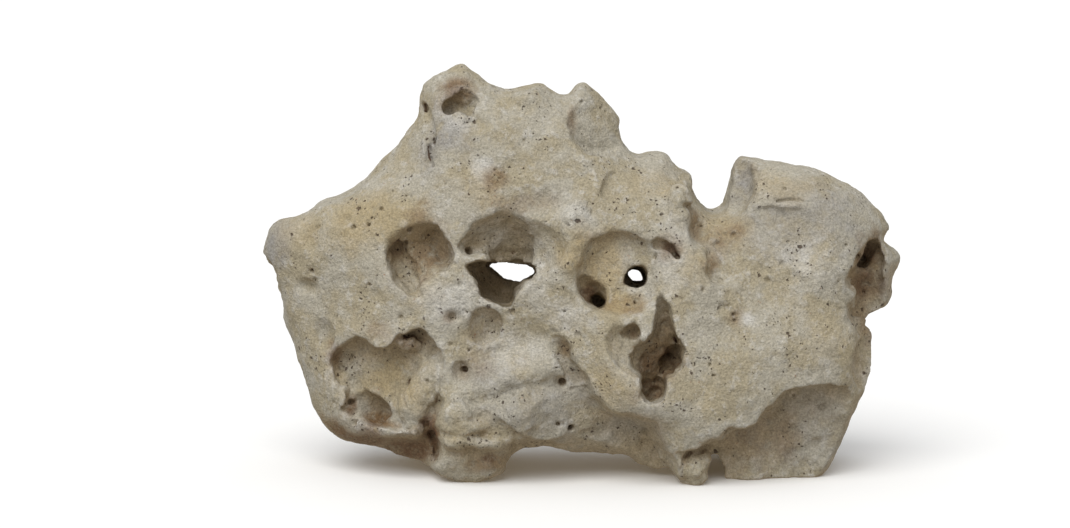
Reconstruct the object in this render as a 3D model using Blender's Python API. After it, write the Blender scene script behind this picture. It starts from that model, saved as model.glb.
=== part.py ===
"""A holey rock: one boulder of pale, porous limestone, eaten by water into bowls, pits and two tunnels.

It stands on its own feet, a long slab on edge with its hollowed face towards -Y.  The outline is
drawn in the X-Z plane, and a front and a back relief give its depth, as heights over that plane.
Rounded lumps and winding ridges are fused to the slab.  Three kinds of hollow are cut from it:
rounded ones, winding ones, and ones with a drawn rim that is swept inwards.  A few smaller lumps
are then set back inside the hollows, and the feet are cut flat where they stand.  All tables are
in millimetres, and the origin is on the floor, under the middle of the rock.
"""

import math

import bmesh
import bpy
import numpy as np
from mathutils import Euler, Matrix, Vector, noise
from mathutils.geometry import delaunay_2d_cdt

MM = 0.001

# Driving dimensions, in millimetres.
EDGE_ROUNDING = 22.0        # radius that turns the front and back faces into the edge
PLAN_STEP = 9.0             # spacing of the slab's points across its faces
CURVE_STEPS = 3             # points between two drawn points of the outline
PLANE = -50.0               # y of the plane on which the windows' loops are drawn
FALL = 0.1405               # how far a window's sweep drops for each millimetre inwards
OPENING = -100.0            # y in front of the rock, where every window's sweep starts
FUSE_CELL = 2.8             # grid on which lumps are fused to the slab
HOLLOW_CELL = 1.9           # finer grid on which hollows are fused to each other
ROUGHNESS = 1.6             # height of the broad weathering waves
WAVE = 32.0                 # length of those waves
BODY_FACES = 4700           # triangles left on the body before it is hollowed
HOLLOW_FACES = 5000         # triangles left on all hollows together, in front of the rock too
LATE_FACES = 400            # triangles left on the lumps that stand inside them
FLOOR_CUT = 40.0            # thickness of the block that levels the feet

# Outline seen from the front, as (x, z), clockwise from the left end.
OUTLINE = [
    # left shoulder and the slope up to the peak
    (-225, 155), (-221, 168), (-212, 176), (-198, 179), (-183, 189), (-167, 194), (-154, 203),
    (-140, 217), (-125, 236), (-115, 250), (-111, 268), (-103, 277), (-93, 281), (-84, 285.5),
    # crest, with two low knobs
    (-76, 282), (-66, 275), (-55, 270), (-42, 271), (-30, 273.5), (-19, 267), (-11, 265.5),
    (-5, 272), (2, 273.5), (9, 268.5), (16, 260), (24, 248), (26, 234), (30, 226), (38, 221),
    (48, 222.5), (58, 222.5), (66, 213), (76, 206),
    # notch
    (77, 196), (83, 185), (91, 180.5), (100, 185), (105, 201), (107, 214),
    # right shoulder and end
    (114, 219.5), (135, 216), (160, 213), (174, 207), (188, 200), (201, 190), (213, 177.5),
    (217, 169), (213, 162), (221, 154), (225, 147), (220, 137), (218, 128), (218, 118),
    (212, 112.5), (203, 110), (199, 104), (204, 99), (205, 90), (203, 74), (197, 57), (189, 42),
    (181, 22), (172, 6),
    # underside, with its feet and arch
    (160, -6), (140, -8), (118, -4), (102, 1), (98, 9), (94, 17), (88, 16), (85, 5), (78, -2),
    (70, -4), (65, 3), (60, 7.5), (50, 4.5), (41, 8), (30, 14), (12, 17), (-8, 17.5), (-24, 22),
    (-38, 21.5), (-48, 17), (-56, 7), (-70, 3), (-90, 0), (-101, 4), (-112, 10), (-130, 14),
    (-142, 18), (-160, 21), (-174, 26),
    # left end
    (-186, 40), (-194, 58), (-200, 75), (-207, 93), (-215, 109), (-223, 124), (-227, 140),
]

# Relief of the front face, as (x, z, y).
FRONT = [
    # crest and upper face
    (-92, 268, -20), (-66, 262, -26), (-38, 262, -24), (-5, 262, -20), (20, 240, -12),
    (-104, 240, -24), (-85, 240, -34), (-55, 240, -36), (-20, 238, -36), (10, 225, -32),
    (-125, 222, -16), (-112, 208, -32), (-92, 206, -44), (-60, 210, -46), (-20, 212, -46),
    (8, 206, -48), (40, 208, -34), (66, 200, -30),
    # left shoulder
    (-216, 160, -2), (-203, 172, -10), (-196, 158, -16), (-176, 170, -26), (-158, 176, -32),
    (-142, 188, -34), (-150, 152, -40), (-176, 140, -26), (-202, 122, -8), (-180, 118, -22),
    (-155, 120, -38), (-136, 135, -46),
    # between the bowls
    (-86, 160, -56), (-92, 184, -50), (-120, 118, -52), (-98, 126, -58), (-84, 132, -58),
    (-60, 116, -58), (-30, 128, -62), (-12, 150, -64), (-8, 170, -62), (-4, 190, -54),
    (30, 184, -54), (56, 182, -52), (58, 152, -58),
    # the plate on the right of the middle, proud of the bulges under it
    (-12, 120, -66), (-4, 100, -68), (6, 82, -72), (16, 66, -75), (30, 52, -76), (48, 48, -76),
    (74, 154, -62), (80, 132, -64), (70, 110, -68), (88, 92, -70), (70, 78, -74), (100, 70, -73),
    (80, 50, -76), (110, 52, -70), (90, 36, -72), (68, 30, -70), (124, 80, -68), (130, 62, -66),
    (140, 100, -60), (152, 78, -60), (168, 88, -54), (166, 112, -50), (182, 96, -48),
    # right shoulder
    (104, 160, -46), (122, 146, -46), (112, 120, -56), (100, 182, -34), (88, 194, -20),
    (126, 176, -40), (150, 134, -50), (174, 132, -46), (183, 146, -44), (180, 166, -38),
    (160, 172, -42), (152, 192, -34), (124, 204, -24), (176, 192, -26), (198, 184, -16),
    (214, 150, -6), (212, 118, -4),
    # lower left
    (-150, 92, -46), (-106, 82, -58), (-100, 50, -58), (-182, 62, -20), (-168, 84, -32),
    (-84, 60, -62), (-84, 10, -50), (-88, 84, -58), (-72, 92, -56),
    # long bulge and the arch under it
    (-50, 98, -54), (-26, 104, -56), (-52, 76, -64), (-26, 82, -62), (-46, 62, -60),
    (-40, 46, -66), (-12, 44, -60), (-36, 30, -58), (-8, 66, -58), (10, 44, -56), (28, 34, -54),
    (-10, 26, -48), (30, 20, -44), (50, 18, -46), (46, 30, -54),
]

# Relief of the back face, as (x, z, y).
BACK = [
    (-215, 160, 38), (-200, 130, 48), (-150, 160, 56), (-100, 240, 32), (-60, 260, 30),
    (0, 255, 28), (-60, 200, 58), (0, 200, 60), (60, 200, 46), (-100, 120, 75), (0, 120, 80),
    (100, 120, 74), (150, 180, 50), (205, 165, 42), (212, 130, 46), (195, 90, 46),
    (120, 60, 80), (0, 50, 84), (-100, 50, 80), (-185, 80, 56), (110, 10, 74), (-80, 10, 70),
    (30, 10, 70),
]

# Lumps fused to the slab, as (name, centre, half sizes, turn about X, Y and Z in degrees).
LUMPS = [
    ("nose", (-86, -57, 50), (14, 16, 17), (0, 20, 0)),
    ("nose low", (-82, -58, 42), (16, 15, 10), (0, 8, 0)),
    ("nose top", (-80, -58, 60), (8, 10, 8), (0, 0, 0)),
    ("ledge under the nose", (-77, -54, 31), (26, 18, 8), (0, 6, 0)),
    ("left foot", (-79, -38, 12.5), (27, 23, 14.5), (0, 4, 0)),
    ("long bulge", (-38, -55, 49), (36, 18, 19), (0, -3, 0)),
    ("plate foot", (71, -52, 30), (20, 18, 32), (0, 0, 0)),
    ("dish ridge", (68, -38, 178), (11, 15, 30), (0, -6, 0)),
    ("right foot", (109, -34, 6), (12, 18, 20), (0, 0, 0)),
    ("ridge between the bowls", (-10, -54, 160), (12, 14, 40), (0, 8, 0)),
    ("rear left foot", (-92, 44, 12), (36, 26, 24), (0, 0, 0)),
    ("rear right foot", (140, 44, 16), (36, 26, 30), (0, 0, 0)),
    ("rear left lump", (-104, 62, 168), (34, 16, 26), (0, 0, 0)),
    ("rear right lump", (92, 74, 74), (34, 18, 30), (0, 0, 0)),
    ("rear shoulder", (-6, 66, 160), (22, 18, 30), (0, 20, 0)),
]

# Ridges fused to the slab, as (name, [(x, y, z, radius), ...]).
RIDGES = [
    ("crest of the long bulge", [(-74, -56.5, 68, 5), (-58, -60.5, 71, 5), (-40, -60.5, 76, 5),
                                 (-24, -57.5, 83, 5), (-16, -57, 91, 4)]),
    ("plate edge", [(-18, -56, 110, 6), (-4, -60, 92, 9), (8, -64, 70, 10), (22, -66, 56, 10),
                    (40, -66, 52, 10)]),
]

# Lumps that stand inside the hollows, given in the same way.
LATE_LUMPS = [
    ("hanging lobe", (-113, -40, 54), (14, 13, 20), (0, 0, 0)),
    ("hanging lobe top", (-106, -44, 72), (9, 9, 13), (0, 20, 0)),
    ("plate foot tip", (75, -49, 12), (13, 16, 18), (0, 0, 0)),
    ("right foot front", (117, -28, 8), (17, 14, 26), (0, 0, 0)),
]

# Rounded hollows, given in the same way as the lumps.
BOWLS = [
    ("funnel above B", (-34, -66, 197), (24, 17, 10), (0, -10, 0)),
    ("back bowl B", (-48, 78, 126), (42, 46, 34), (0, 0, 0)),
    ("back bowl F", (34, 80, 122), (30, 42, 28), (0, 0, 0)),
    ("rear left bowl", (-142, 76, 104), (26, 26, 32), (0, 0, 0)),
    ("rear low bowl", (30, 96, 56), (36, 26, 20), (0, 0, 0)),
    ("rear right bowl", (152, 74, 128), (28, 30, 32), (0, 0, 0)),
    ("rear top pit", (-14, 64, 212), (17, 18, 15), (0, 0, 0)),
    ("left end bowl", (-224, 16, 122), (16, 26, 24), (0, 0, 0)),
    ("right end bowl", (214, 26, 86), (16, 24, 20), (0, 0, 0)),
    ("arch roof", (6, 34, 2), (66, 58, 30), (0, 0, 0)),
    ("channel roof", (91, 24, 2), (15, 66, 25), (0, 0, 0)),
]

# Winding hollows, as (name, [(x, y, z, radius), ...]).
BORES = [
    ("tunnel B behind", [(-50, 12, 147, 7), (-50, 50, 146, 12)]),
    ("hole P1", [(10, -48, 128.5, 4.4), (11, -18, 124, 4.2)]),
    ("nose groove", [(-84, -72, 70, 5), (-76, -71.5, 60, 5.5), (-67, -71, 49, 5.5),
                     (-56, -69, 39, 5.5), (-46, -66, 33, 4.5)]),
    ("cavity H deep", [(201, -6, 156, 8), (194, 10, 151, 9)]),
]

# Hollows with drawn rims.  Each has the y at which its opening is as wide as its loop, the y of its
# floor, how that y changes along x and along z, the radius between wall and floor, how fast the
# walls close in with depth, and the loop, as (x, z) on the plane y = PLANE.  From there the loop is
# swept inwards and drops by FALL for each millimetre.
WINDOWS = [
    ("shelf above A", -50, -42, (-0.25, -0.2), 8, 0.3, [
      (-109, 195), (-103, 188), (-98, 183), (-96, 176), (-104, 168), (-120, 164), (-136, 158),
      (-138, 167), (-132, 177), (-123, 183), (-114, 186)]),
    ("bowl A", -54, -31, (0.1, 0.1), 15, 0.1, [
      (-98, 181), (-95, 175), (-91.5, 170), (-89.5, 162), (-90, 154), (-94, 149), (-99, 147),
      (-104, 141), (-110, 137), (-112, 130), (-117, 127), (-123, 129), (-129, 135), (-133, 143),
      (-135.5, 153), (-135, 163), (-131, 172), (-124, 178), (-115, 180), (-106, 181)]),
    ("bowl A right", -54, -22, (0.15, 0.2), 13, 0.1, [
      (-98, 180), (-92, 171), (-89.5, 161), (-91, 154), (-97, 149), (-104, 153), (-110, 163),
      (-110, 174), (-105, 180)]),
    ("funnel B wide", -60, -40, (-0.3, -0.4), 14, 0.3, [
      (-84, 166), (-82, 172), (-79.5, 177), (-73, 182), (-65, 187), (-57, 191), (-48, 193),
      (-38, 192), (-28, 188), (-20, 182), (-15, 174), (-14, 166), (-17, 158), (-22, 152),
      (-29, 147), (-34, 146), (-40, 150), (-50, 155), (-62, 157), (-74, 158), (-80, 160.5)]),
    ("funnel B", -58, -31, (0.25, -0.6), 13, 0.15, [
      (-84, 166), (-82, 172), (-79.5, 177), (-73, 182), (-65, 187), (-57, 191), (-50, 192),
      (-43, 189), (-37, 182), (-32, 172), (-29.5, 162), (-31, 154), (-35, 149), (-42, 145),
      (-54, 144), (-62, 147), (-65.5, 153.5), (-69, 158), (-74, 159), (-80, 161)]),
    ("mouth B", -56, -15, (0, 0), 2, 0, [
      (-79, 153), (-77, 148), (-73, 143), (-71, 137), (-70, 131), (-64, 127), (-57, 124),
      (-50, 123), (-47, 128), (-45, 133), (-42, 137), (-39, 140.5), (-35, 143.5), (-32.5, 148),
      (-34, 152), (-40, 154), (-52, 154.5), (-64, 155), (-74, 154.5)]),
    ("chamber B", -56, 6, (0.5, 0), 9, 0.03, [
      (-79, 152), (-77, 147), (-73, 142), (-71, 136), (-70, 131), (-64, 127), (-57, 124),
      (-50, 123), (-47, 128), (-45, 133), (-42, 137), (-38, 141), (-34, 146), (-33, 150),
      (-37, 153), (-52, 153.5), (-68, 153.5)]),
    ("tunnel B", -56, 120, (0, 0), 3, 0, [
      (-67, 154), (-65.5, 150), (-60, 145.5), (-53, 142.5), (-46, 141), (-38, 141.2), (-33, 144),
      (-31, 148), (-33, 151.5), (-38, 153.5), (-50, 154.5), (-60, 154.5)]),
    ("bowl F", -64, -52, (0, 0.22), 9, 0.2, [
      (-3, 151), (-3, 142), (-1, 134), (5, 127), (14, 122), (26, 119), (38, 120), (45, 124),
      (50, 132), (52, 142), (52, 152), (50, 161), (46, 168), (40, 172), (33, 175.5), (24, 177),
      (15, 175.5), (7, 171.5), (2, 165), (-1, 159)]),
    ("side hollow F", -56, -47, (0.2, -0.1), 5, 0.12, [
      (47, 168), (52, 171.5), (58, 170.5), (63, 167), (67, 161.5), (67, 157), (63, 156.5),
      (58, 160), (53, 163), (49, 164.5)]),
    ("hole F", -48, -12, (0, 0), 3, 0, [
      (29, 143), (31, 148), (35, 150), (40, 150), (44, 147), (45, 142), (43, 137.5), (38, 135.5),
      (33, 136), (30, 139)]),
    ("through F", -48, 120, (0, 0), 3, 0, [
      (31, 147), (33.5, 149.5), (38, 149.8), (42, 147.5), (44.5, 143.5), (43.5, 140), (39, 139.5),
      (34.5, 141), (32, 143.5)]),
    ("pit P1", -58, -43, (0.2, -0.2), 7, 0.15, [
      (-2, 142), (1, 145.5), (6, 143), (11, 139), (15, 133), (15, 128), (11, 124), (6, 125),
      (1, 129.5), (-2, 136)]),
    ("crescent", -76, -66, (0.25, 0), 6, 0.3, [
      (22, 114), (16, 105), (16, 95), (21, 87), (28, 81), (36, 77), (44, 80), (44, 100), (34, 110)]),
    ("pit P2", -74, -60, (0.35, 0.35), 5, 0.1, [
      (25, 106), (27, 110), (31, 113.5), (36, 114), (40, 111), (41.5, 106), (40, 102),
      (36, 100.5), (31, 101), (27, 103)]),
    ("slot S", -74, -49, (0.5, -0.25), 6, 0.05, [
      (54, 131.5), (50, 126), (49, 118), (47, 109), (40, 101), (33, 94), (31, 88), (34, 81),
      (38, 75), (37.5, 69), (41, 61), (46, 57), (53, 60), (56.5, 67), (55, 74), (60, 79),
      (65, 85), (66.5, 93), (65, 102), (62, 111), (61, 120), (59, 127)]),
    ("slot S deep", -60, -32, (0, -0.1), 6, 0.1, [
      (64, 98), (57, 96), (51, 89), (52, 81), (57, 77), (62, 80), (65, 88), (65.5, 93)]),
    ("slot S low", -70, -44, (0, -0.5), 5, 0.05, [
      (38, 69), (39.5, 76), (43, 82), (50, 84), (55, 79), (56, 68), (53, 61), (46, 57.5),
      (41.5, 61)]),
    ("bowl C", -58, -49, (0.3, -0.1), 9, 0.05, [
      (-82, 112), (-80, 103), (-75, 97), (-67, 95.5), (-59, 100), (-55.5, 108), (-56.5, 117),
      (-63, 123), (-71, 125), (-79, 121)]),
    ("recess D", -46, -30, (-0.38, 0.06), 7, 0.12, [
      (-177, 88), (-172, 94), (-163, 99), (-155, 103), (-148, 101), (-141, 96), (-134, 98),
      (-127, 104), (-119, 108), (-110, 106), (-104, 101), (-99, 92), (-97, 82), (-99, 72),
      (-98, 62), (-100, 50), (-103, 40), (-112, 34), (-126, 36), (-140, 38), (-152, 40),
      (-163, 44), (-168, 52), (-166, 62), (-172, 72), (-177, 80)]),
    ("bowl E", -32, -16, (0.15, 0.1), 9, 0.1, [
      (-160, 62), (-153, 64), (-145, 62.5), (-137, 58.5), (-132, 53), (-130, 47), (-134, 43),
      (-142, 41), (-152, 43), (-158, 50)]),
    ("underside left", -44, -20, (-0.35, -0.3), 12, 0.25, [
      (-172, 44), (-164, 39), (-152, 36), (-140, 35), (-128, 33), (-116, 32), (-108, 38),
      (-102, 36), (-101, 22), (-104, 8), (-112, -10), (-150, -10), (-185, 0), (-190, 34)]),
    ("groove by the nose", -56, -30, (0, 0), 6, 0.2, [
      (-113, 45), (-107, 47), (-102, 42), (-99, 34), (-97, 25), (-97, 15), (-102, 11), (-107, 14),
      (-109, 24), (-111, 34)]),
    ("front of the left foot", -68, -57, (0, -0.5), 9, 0.15, [
      (-104, 22), (-90, 26), (-76, 22), (-64, 23), (-54, 27), (-47, 28), (-36, 14), (-40, -20),
      (-112, -20), (-110, 12)]),
    ("step under the plate", -62, -52.5, (0.36, -0.14), 6, 0.2, [
      (-31, 118), (-22, 108), (-12, 99.5), (-8, 90), (-2, 80), (3, 68), (9, 59), (18, 51),
      (28, 47), (40, 44), (48, 42), (52, 33), (57, 24), (63, 12), (66, -20), (30, -20), (0, -10),
      (-20, 14), (-34, 34), (-34, 60), (-30, 80), (-40, 95), (-46, 112)]),
    ("underside middle", -60, -34, (0, 0), 6, 0.15, [
      (-51, 27), (-44, 30.5), (-36, 32), (-26, 32), (-16, 30), (-6, 27), (2, 20), (6, -20),
      (-54, -20)]),
    ("dish G", -58, -40, (-0.03, 0.44), 4, 0.1, [
      (74, 176), (77, 168), (84, 164), (85.5, 155), (84.5, 147), (90, 138), (110, 138),
      (130, 142), (150, 152), (165, 168), (160, 188), (140, 196), (112, 196), (88, 194)]),
    ("strip G", -46, -29, (0.2, 0.3), 6, 0.15, [
      (70, 193), (73, 186), (72.5, 176), (76, 167), (86, 164), (91, 175), (92, 186), (88, 193),
      (79, 196)]),
    ("notch channel", -24, 2, (0.1, 0.4), 9, 0.15, [
      (119, 232), (121, 214), (119, 202), (114, 192), (105, 186), (94, 186), (90, 200), (92, 232)]),
    ("underside right", -66, -38, (0.1, -0.1), 7, 0.03, [
      (70, 22), (77, 25), (86, 28), (96, 33), (104, 39.5), (113, 42), (121, 45.5), (127, 54),
      (135, 61.5), (143, 66.5), (152, 69.5), (168, 70), (186, 66), (200, 54), (216, 30),
      (216, -24), (74, -24), (68, 8)]),
    ("cavity H", -30, 3, (0.35, 0), 9, 0.06, [
      (203, 169), (197, 166), (192, 161), (188, 153), (184.5, 146), (184, 139), (187, 133),
      (187, 126), (188, 118), (198, 114), (208, 117), (214, 124), (215, 134), (214, 144),
      (214, 153), (210, 162), (206, 168)]),
    ("cavity H low", -30, -8, (0.3, 0.1), 8, 0.15, [
      (184, 124), (187, 112), (188, 98), (186, 82), (192, 68), (212, 56), (244, 60), (244, 124),
      (212, 122)]),
    ("pit T", -24, -11, (-0.3, -0.2), 5, 0.1, [
      (-101, 262), (-98, 269), (-91, 272.5), (-85, 275), (-79, 272.5), (-74, 267.5), (-76, 261),
      (-76, 257.5), (-81, 256.5), (-86, 259), (-92, 255.5), (-98, 256.5)]),
    ("knob face", -26, -11, (0.6, 0.15), 4, 0.1, [
      (-2, 276), (-7, 264), (-9.5, 250), (-8, 239), (-1, 231), (10, 227), (20, 228), (34, 236),
      (34, 262), (14, 284)]),
    ("depression R", -60, -38, (0.13, 0.9), 5, 0.05, [
      (26, 219), (18, 216), (13, 209), (11.5, 202), (14, 195), (19, 190), (27, 187), (38, 187),
      (50, 190), (60, 198), (64, 208), (60, 216), (46, 221)]),
]


def clear_scene():
    """Remove every object from the scene."""
    for obj in list(bpy.data.objects):
        bpy.data.objects.remove(obj, do_unlink=True)


def limestone():
    """Pale, matt, warm off-white stone."""
    material = bpy.data.materials.new("limestone")
    material.use_nodes = True
    shader = material.node_tree.nodes["Principled BSDF"]
    shader.inputs["Base Color"].default_value = (0.50, 0.45, 0.36, 1.0)
    shader.inputs["Roughness"].default_value = 0.92
    shader.inputs["Metallic"].default_value = 0.0
    material.diffuse_color = (0.50, 0.45, 0.36, 1.0)
    return material


def smooth_loop(points, steps):
    """Closed Catmull-Rom curve through the points, with this many steps to a span."""
    count = len(points)
    curve = []
    for i in range(count):
        a, b, c, d = (np.array(points[(i + k) % count], float) for k in (-1, 0, 1, 2))
        for s in range(steps):
            t = s / steps
            curve.append(0.5 * (2 * b + (c - a) * t + (2 * a - 5 * b + 4 * c - d) * t**2
                                + (3 * b - a - 3 * c + d) * t**3))
    return np.array(curve)


def relief(stations):
    """Thin-plate surface through the stations: a function of arrays x and z that gives y."""
    known = np.array(stations, float) / 100.0
    count = len(known)

    def kernel(squared):
        return 0.5 * squared * np.log(np.maximum(squared, 1e-12))

    squared = ((known[:, None, :2] - known[None, :, :2]) ** 2).sum(axis=2)
    system = np.zeros((count + 3, count + 3))
    system[:count, :count] = kernel(squared) + 1e-3 * np.eye(count)
    system[:count, count] = system[count, :count] = 1.0
    system[:count, count + 1:] = known[:, :2]
    system[count + 1:, :count] = known[:, :2].T
    weights = np.linalg.solve(system, np.append(known[:, 2], np.zeros(3)))

    def surface(x, z):
        at = np.stack([x, z], axis=-1) / 100.0
        away = ((at[:, None, :] - known[None, :, :2]) ** 2).sum(axis=2)
        flat = weights[count] + at @ weights[count + 1:]
        return 100.0 * (kernel(away) @ weights[:count] + flat)

    return surface


def depth_inside(points, loop):
    """Distance of each point inside the closed loop to the nearest edge, negative outside."""
    start, end = loop, np.roll(loop, -1, axis=0)
    along = end - start
    nearest = np.full(len(points), 1e9)
    inside = np.zeros(len(points), bool)
    for p, q, d in zip(start, end, along):
        t = np.clip(((points - p) @ d) / max(d @ d, 1e-9), 0.0, 1.0)
        nearest = np.minimum(nearest, np.linalg.norm(points - p - t[:, None] * d, axis=1))
        if p[1] != q[1]:
            crosses = (p[1] > points[:, 1]) != (q[1] > points[:, 1])
            inside ^= crosses & (points[:, 0] < p[0] + (points[:, 1] - p[1]) / d[1] * d[0])
    return np.where(inside, nearest, -nearest)


def add_slab(bm):
    """The slab: a front and a back sheet over the outline, rounded into a wall along its edge."""
    loop = smooth_loop(OUTLINE, CURVE_STEPS)
    xs = np.arange(-230, 230, PLAN_STEP)
    zs = np.arange(-10, 290, PLAN_STEP)
    grid = np.array([(x + (row % 2) * PLAN_STEP / 2, z) for row, z in enumerate(zs) for x in xs])
    grid = grid[depth_inside(grid, loop) > 0.45 * PLAN_STEP]
    plan = [Vector(p) for p in np.vstack([loop, grid])]
    edges = [(i, (i + 1) % len(loop)) for i in range(len(loop))]
    plan, _, faces, *_ = delaunay_2d_cdt(plan, edges, [list(range(len(loop)))], 1, 1e-4)
    plan = np.array(plan)
    inset = np.clip(depth_inside(plan, loop), 0.0, None)
    front, back = (relief(rows)(plan[:, 0], plan[:, 1]) for rows in (FRONT, BACK))
    rounding = np.clip((back - front) / 2, 6.0, EDGE_ROUNDING)
    drop = rounding - np.sqrt(np.maximum(rounding**2 - np.maximum(rounding - inset, 0.0) ** 2, 0.0))
    sheets = []
    for y in (front + drop, back - drop):
        sheets.append([bm.verts.new((x * MM, dy * MM, z * MM)) for (x, z), dy in zip(plan, y)])
    for a, b, c in (face for face in faces if len(face) == 3):
        bm.faces.new([sheets[0][i] for i in (a, b, c)])
        bm.faces.new([sheets[1][i] for i in (c, b, a)])
    rim = [e for e in bm.edges if e.is_boundary]
    bmesh.ops.bridge_loops(bm, edges=rim)
    bmesh.ops.recalc_face_normals(bm, faces=bm.faces)


def add_ball(bm, centre, size, turn, subdivisions=4):
    """An ellipsoid with these half sizes, turned about X, then Y, then Z."""
    place = (Matrix.Translation(Vector(centre) * MM)
             @ Euler([math.radians(a) for a in turn], "XYZ").to_matrix().to_4x4()
             @ Matrix.Diagonal(Vector(size) * MM).to_4x4())
    bmesh.ops.create_icosphere(bm, subdivisions=subdivisions, radius=1.0, matrix=place)


def add_bore(bm, path):
    """A row of balls along the path, close enough to fuse into a winding, tapering tube."""
    for (x0, y0, z0, r0), (x1, y1, z1, r1) in zip(path[:-1], path[1:]):
        a, b = Vector((x0, y0, z0)), Vector((x1, y1, z1))
        count = max(2, math.ceil((b - a).length / (0.5 * min(r0, r1))))
        for k in range(count + 1):
            t = k / count
            radius = r0 + (r1 - r0) * t
            add_ball(bm, a.lerp(b, t), (radius,) * 3, (0, 0, 0), subdivisions=3)


def outward(loop):
    """Unit normals of a closed loop at its points, away from its inside."""
    along = np.roll(loop, -1, axis=0) - np.roll(loop, 1, axis=0)
    normal = np.stack([along[:, 1], -along[:, 0]], axis=1)
    normal /= np.maximum(np.linalg.norm(normal, axis=1), 1e-9)[:, None]
    area = (loop[:, 0] * np.roll(loop[:, 1], -1) - np.roll(loop[:, 0], -1) * loop[:, 1]).sum()
    return normal if area > 0 else -normal


def add_window(bm, loop, rim, floor, tilt, rounding, taper):
    """A closed plug: the loop swept from the opening to the floor, rounded where they meet."""
    curve = smooth_loop(loop, 2)
    normal = outward(curve)
    floors = floor + (curve - curve.mean(axis=0)) @ np.array(tilt)
    rings = []
    for angle in (None, 0, 30, 60, 90):
        if angle is None:
            y, inset = np.full(len(curve), OPENING), 0.0
        else:
            turn = math.radians(angle)
            y = floors - rounding * (1.0 - math.sin(turn))
            inset = rounding * (1.0 - math.cos(turn))
        at = curve - normal * (inset + taper * (y - rim))[:, None]
        z = at[:, 1] - FALL * (y - PLANE)
        rings.append([bm.verts.new((a * MM, b * MM, c * MM)) for a, b, c in zip(at[:, 0], y, z)])
    for near, far in zip(rings[:-1], rings[1:]):
        for i in range(len(curve)):
            k = (i + 1) % len(curve)
            bm.faces.new([near[i], near[k], far[k], far[i]])
    caps = [bm.faces.new(rings[0][::-1]), bm.faces.new(rings[-1])]
    bmesh.ops.triangulate(bm, faces=caps)


def new_object(name, bm):
    """Put the mesh under construction into a named object."""
    mesh = bpy.data.meshes.new(name)
    bm.to_mesh(mesh)
    bm.free()
    obj = bpy.data.objects.new(name, mesh)
    bpy.context.scene.collection.objects.link(obj)
    return obj


def helper(obj):
    """Mark the object as a cutter: drawn as wires and left out of the model."""
    obj.hide_render = True
    obj.display_type = "WIRE"
    return obj


def bake(obj):
    """Replace the object's mesh by what its modifiers make of it."""
    graph = bpy.context.evaluated_depsgraph_get()
    mesh = bpy.data.meshes.new_from_object(obj.evaluated_get(graph))
    obj.modifiers.clear()
    obj.data = mesh


def fuse(obj, cell, smoothing):
    """Make one skin of the overlapping shapes in the object and round its creases."""
    remesh = obj.modifiers.new("fuse", "REMESH")
    remesh.mode = "VOXEL"
    remesh.voxel_size = cell * MM
    soften = obj.modifiers.new("soften", "SMOOTH")
    soften.factor = 0.5
    soften.iterations = smoothing
    bake(obj)


def weather(obj):
    """Push each point in or out along its normal by slow, layered noise."""
    mesh = obj.data
    normals = [vertex.normal.copy() for vertex in mesh.vertices]
    for vertex, normal in zip(mesh.vertices, normals):
        height = ROUGHNESS * MM * noise.fractal(vertex.co / (WAVE * MM), 0.7, 2.0, 3)
        vertex.co = vertex.co + normal * height


def thin(obj, faces):
    """Collapse edges until about this many triangles are left."""
    graph = bpy.context.evaluated_depsgraph_get()
    triangles = sum(len(p.vertices) - 2 for p in obj.evaluated_get(graph).data.polygons)
    decimate = obj.modifiers.new("thin", "DECIMATE")
    decimate.ratio = min(1.0, faces / triangles)
    bake(obj)


def cut(obj, cutter):
    """Take the cutter away from the object."""
    boolean = obj.modifiers.new("cut " + cutter.name, "BOOLEAN")
    boolean.operation = "DIFFERENCE"
    boolean.solver = "EXACT"
    boolean.object = cutter


def make_late_lumps():
    """The lumps that are left standing inside the hollows, as one helper."""
    bm = bmesh.new()
    for _, centre, size, turn in LATE_LUMPS:
        add_ball(bm, centre, size, turn)
    lumps = helper(new_object("late_lumps", bm))
    fuse(lumps, FUSE_CELL, 2)
    thin(lumps, LATE_FACES)
    return lumps


def make_hollows():
    """All windows, bowls and bores, fused into one cutter, less the lumps that stand in them."""
    bm = bmesh.new()
    for _, centre, size, turn in BOWLS:
        add_ball(bm, centre, size, turn)
    for _, path in BORES:
        add_bore(bm, path)
    for _, rim, floor, tilt, rounding, taper, loop in WINDOWS:
        add_window(bm, loop, rim, floor, tilt, rounding, taper)
    hollows = helper(new_object("hollows", bm))
    fuse(hollows, HOLLOW_CELL, 2)
    thin(hollows, HOLLOW_FACES)
    cut(hollows, make_late_lumps())
    bake(hollows)
    return hollows


def make_floor_block():
    """A block whose top is the floor, wider than the rock."""
    bm = bmesh.new()
    size = Matrix.Diagonal((0.8, 0.5, FLOOR_CUT * MM, 1.0))
    bmesh.ops.create_cube(bm, size=1.0, matrix=Matrix.Translation((0, 0, -FLOOR_CUT * MM / 2)) @ size)
    return helper(new_object("floor_block", bm))


def centre_on_floor(obj, followers):
    """Shift the rock and its cutters together so that its box is centred over the origin."""
    graph = bpy.context.evaluated_depsgraph_get()
    mesh = obj.evaluated_get(graph).to_mesh()
    points = np.array([v.co for v in mesh.vertices])
    low, high = points.min(axis=0), points.max(axis=0)
    shift = Vector((-(low[0] + high[0]) / 2, -(low[1] + high[1]) / 2, 0.0))
    print("shift of the rock, mm:", [round(s / MM, 3) for s in shift])
    for each in [obj, *followers]:
        each.data.transform(Matrix.Translation(shift))


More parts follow.
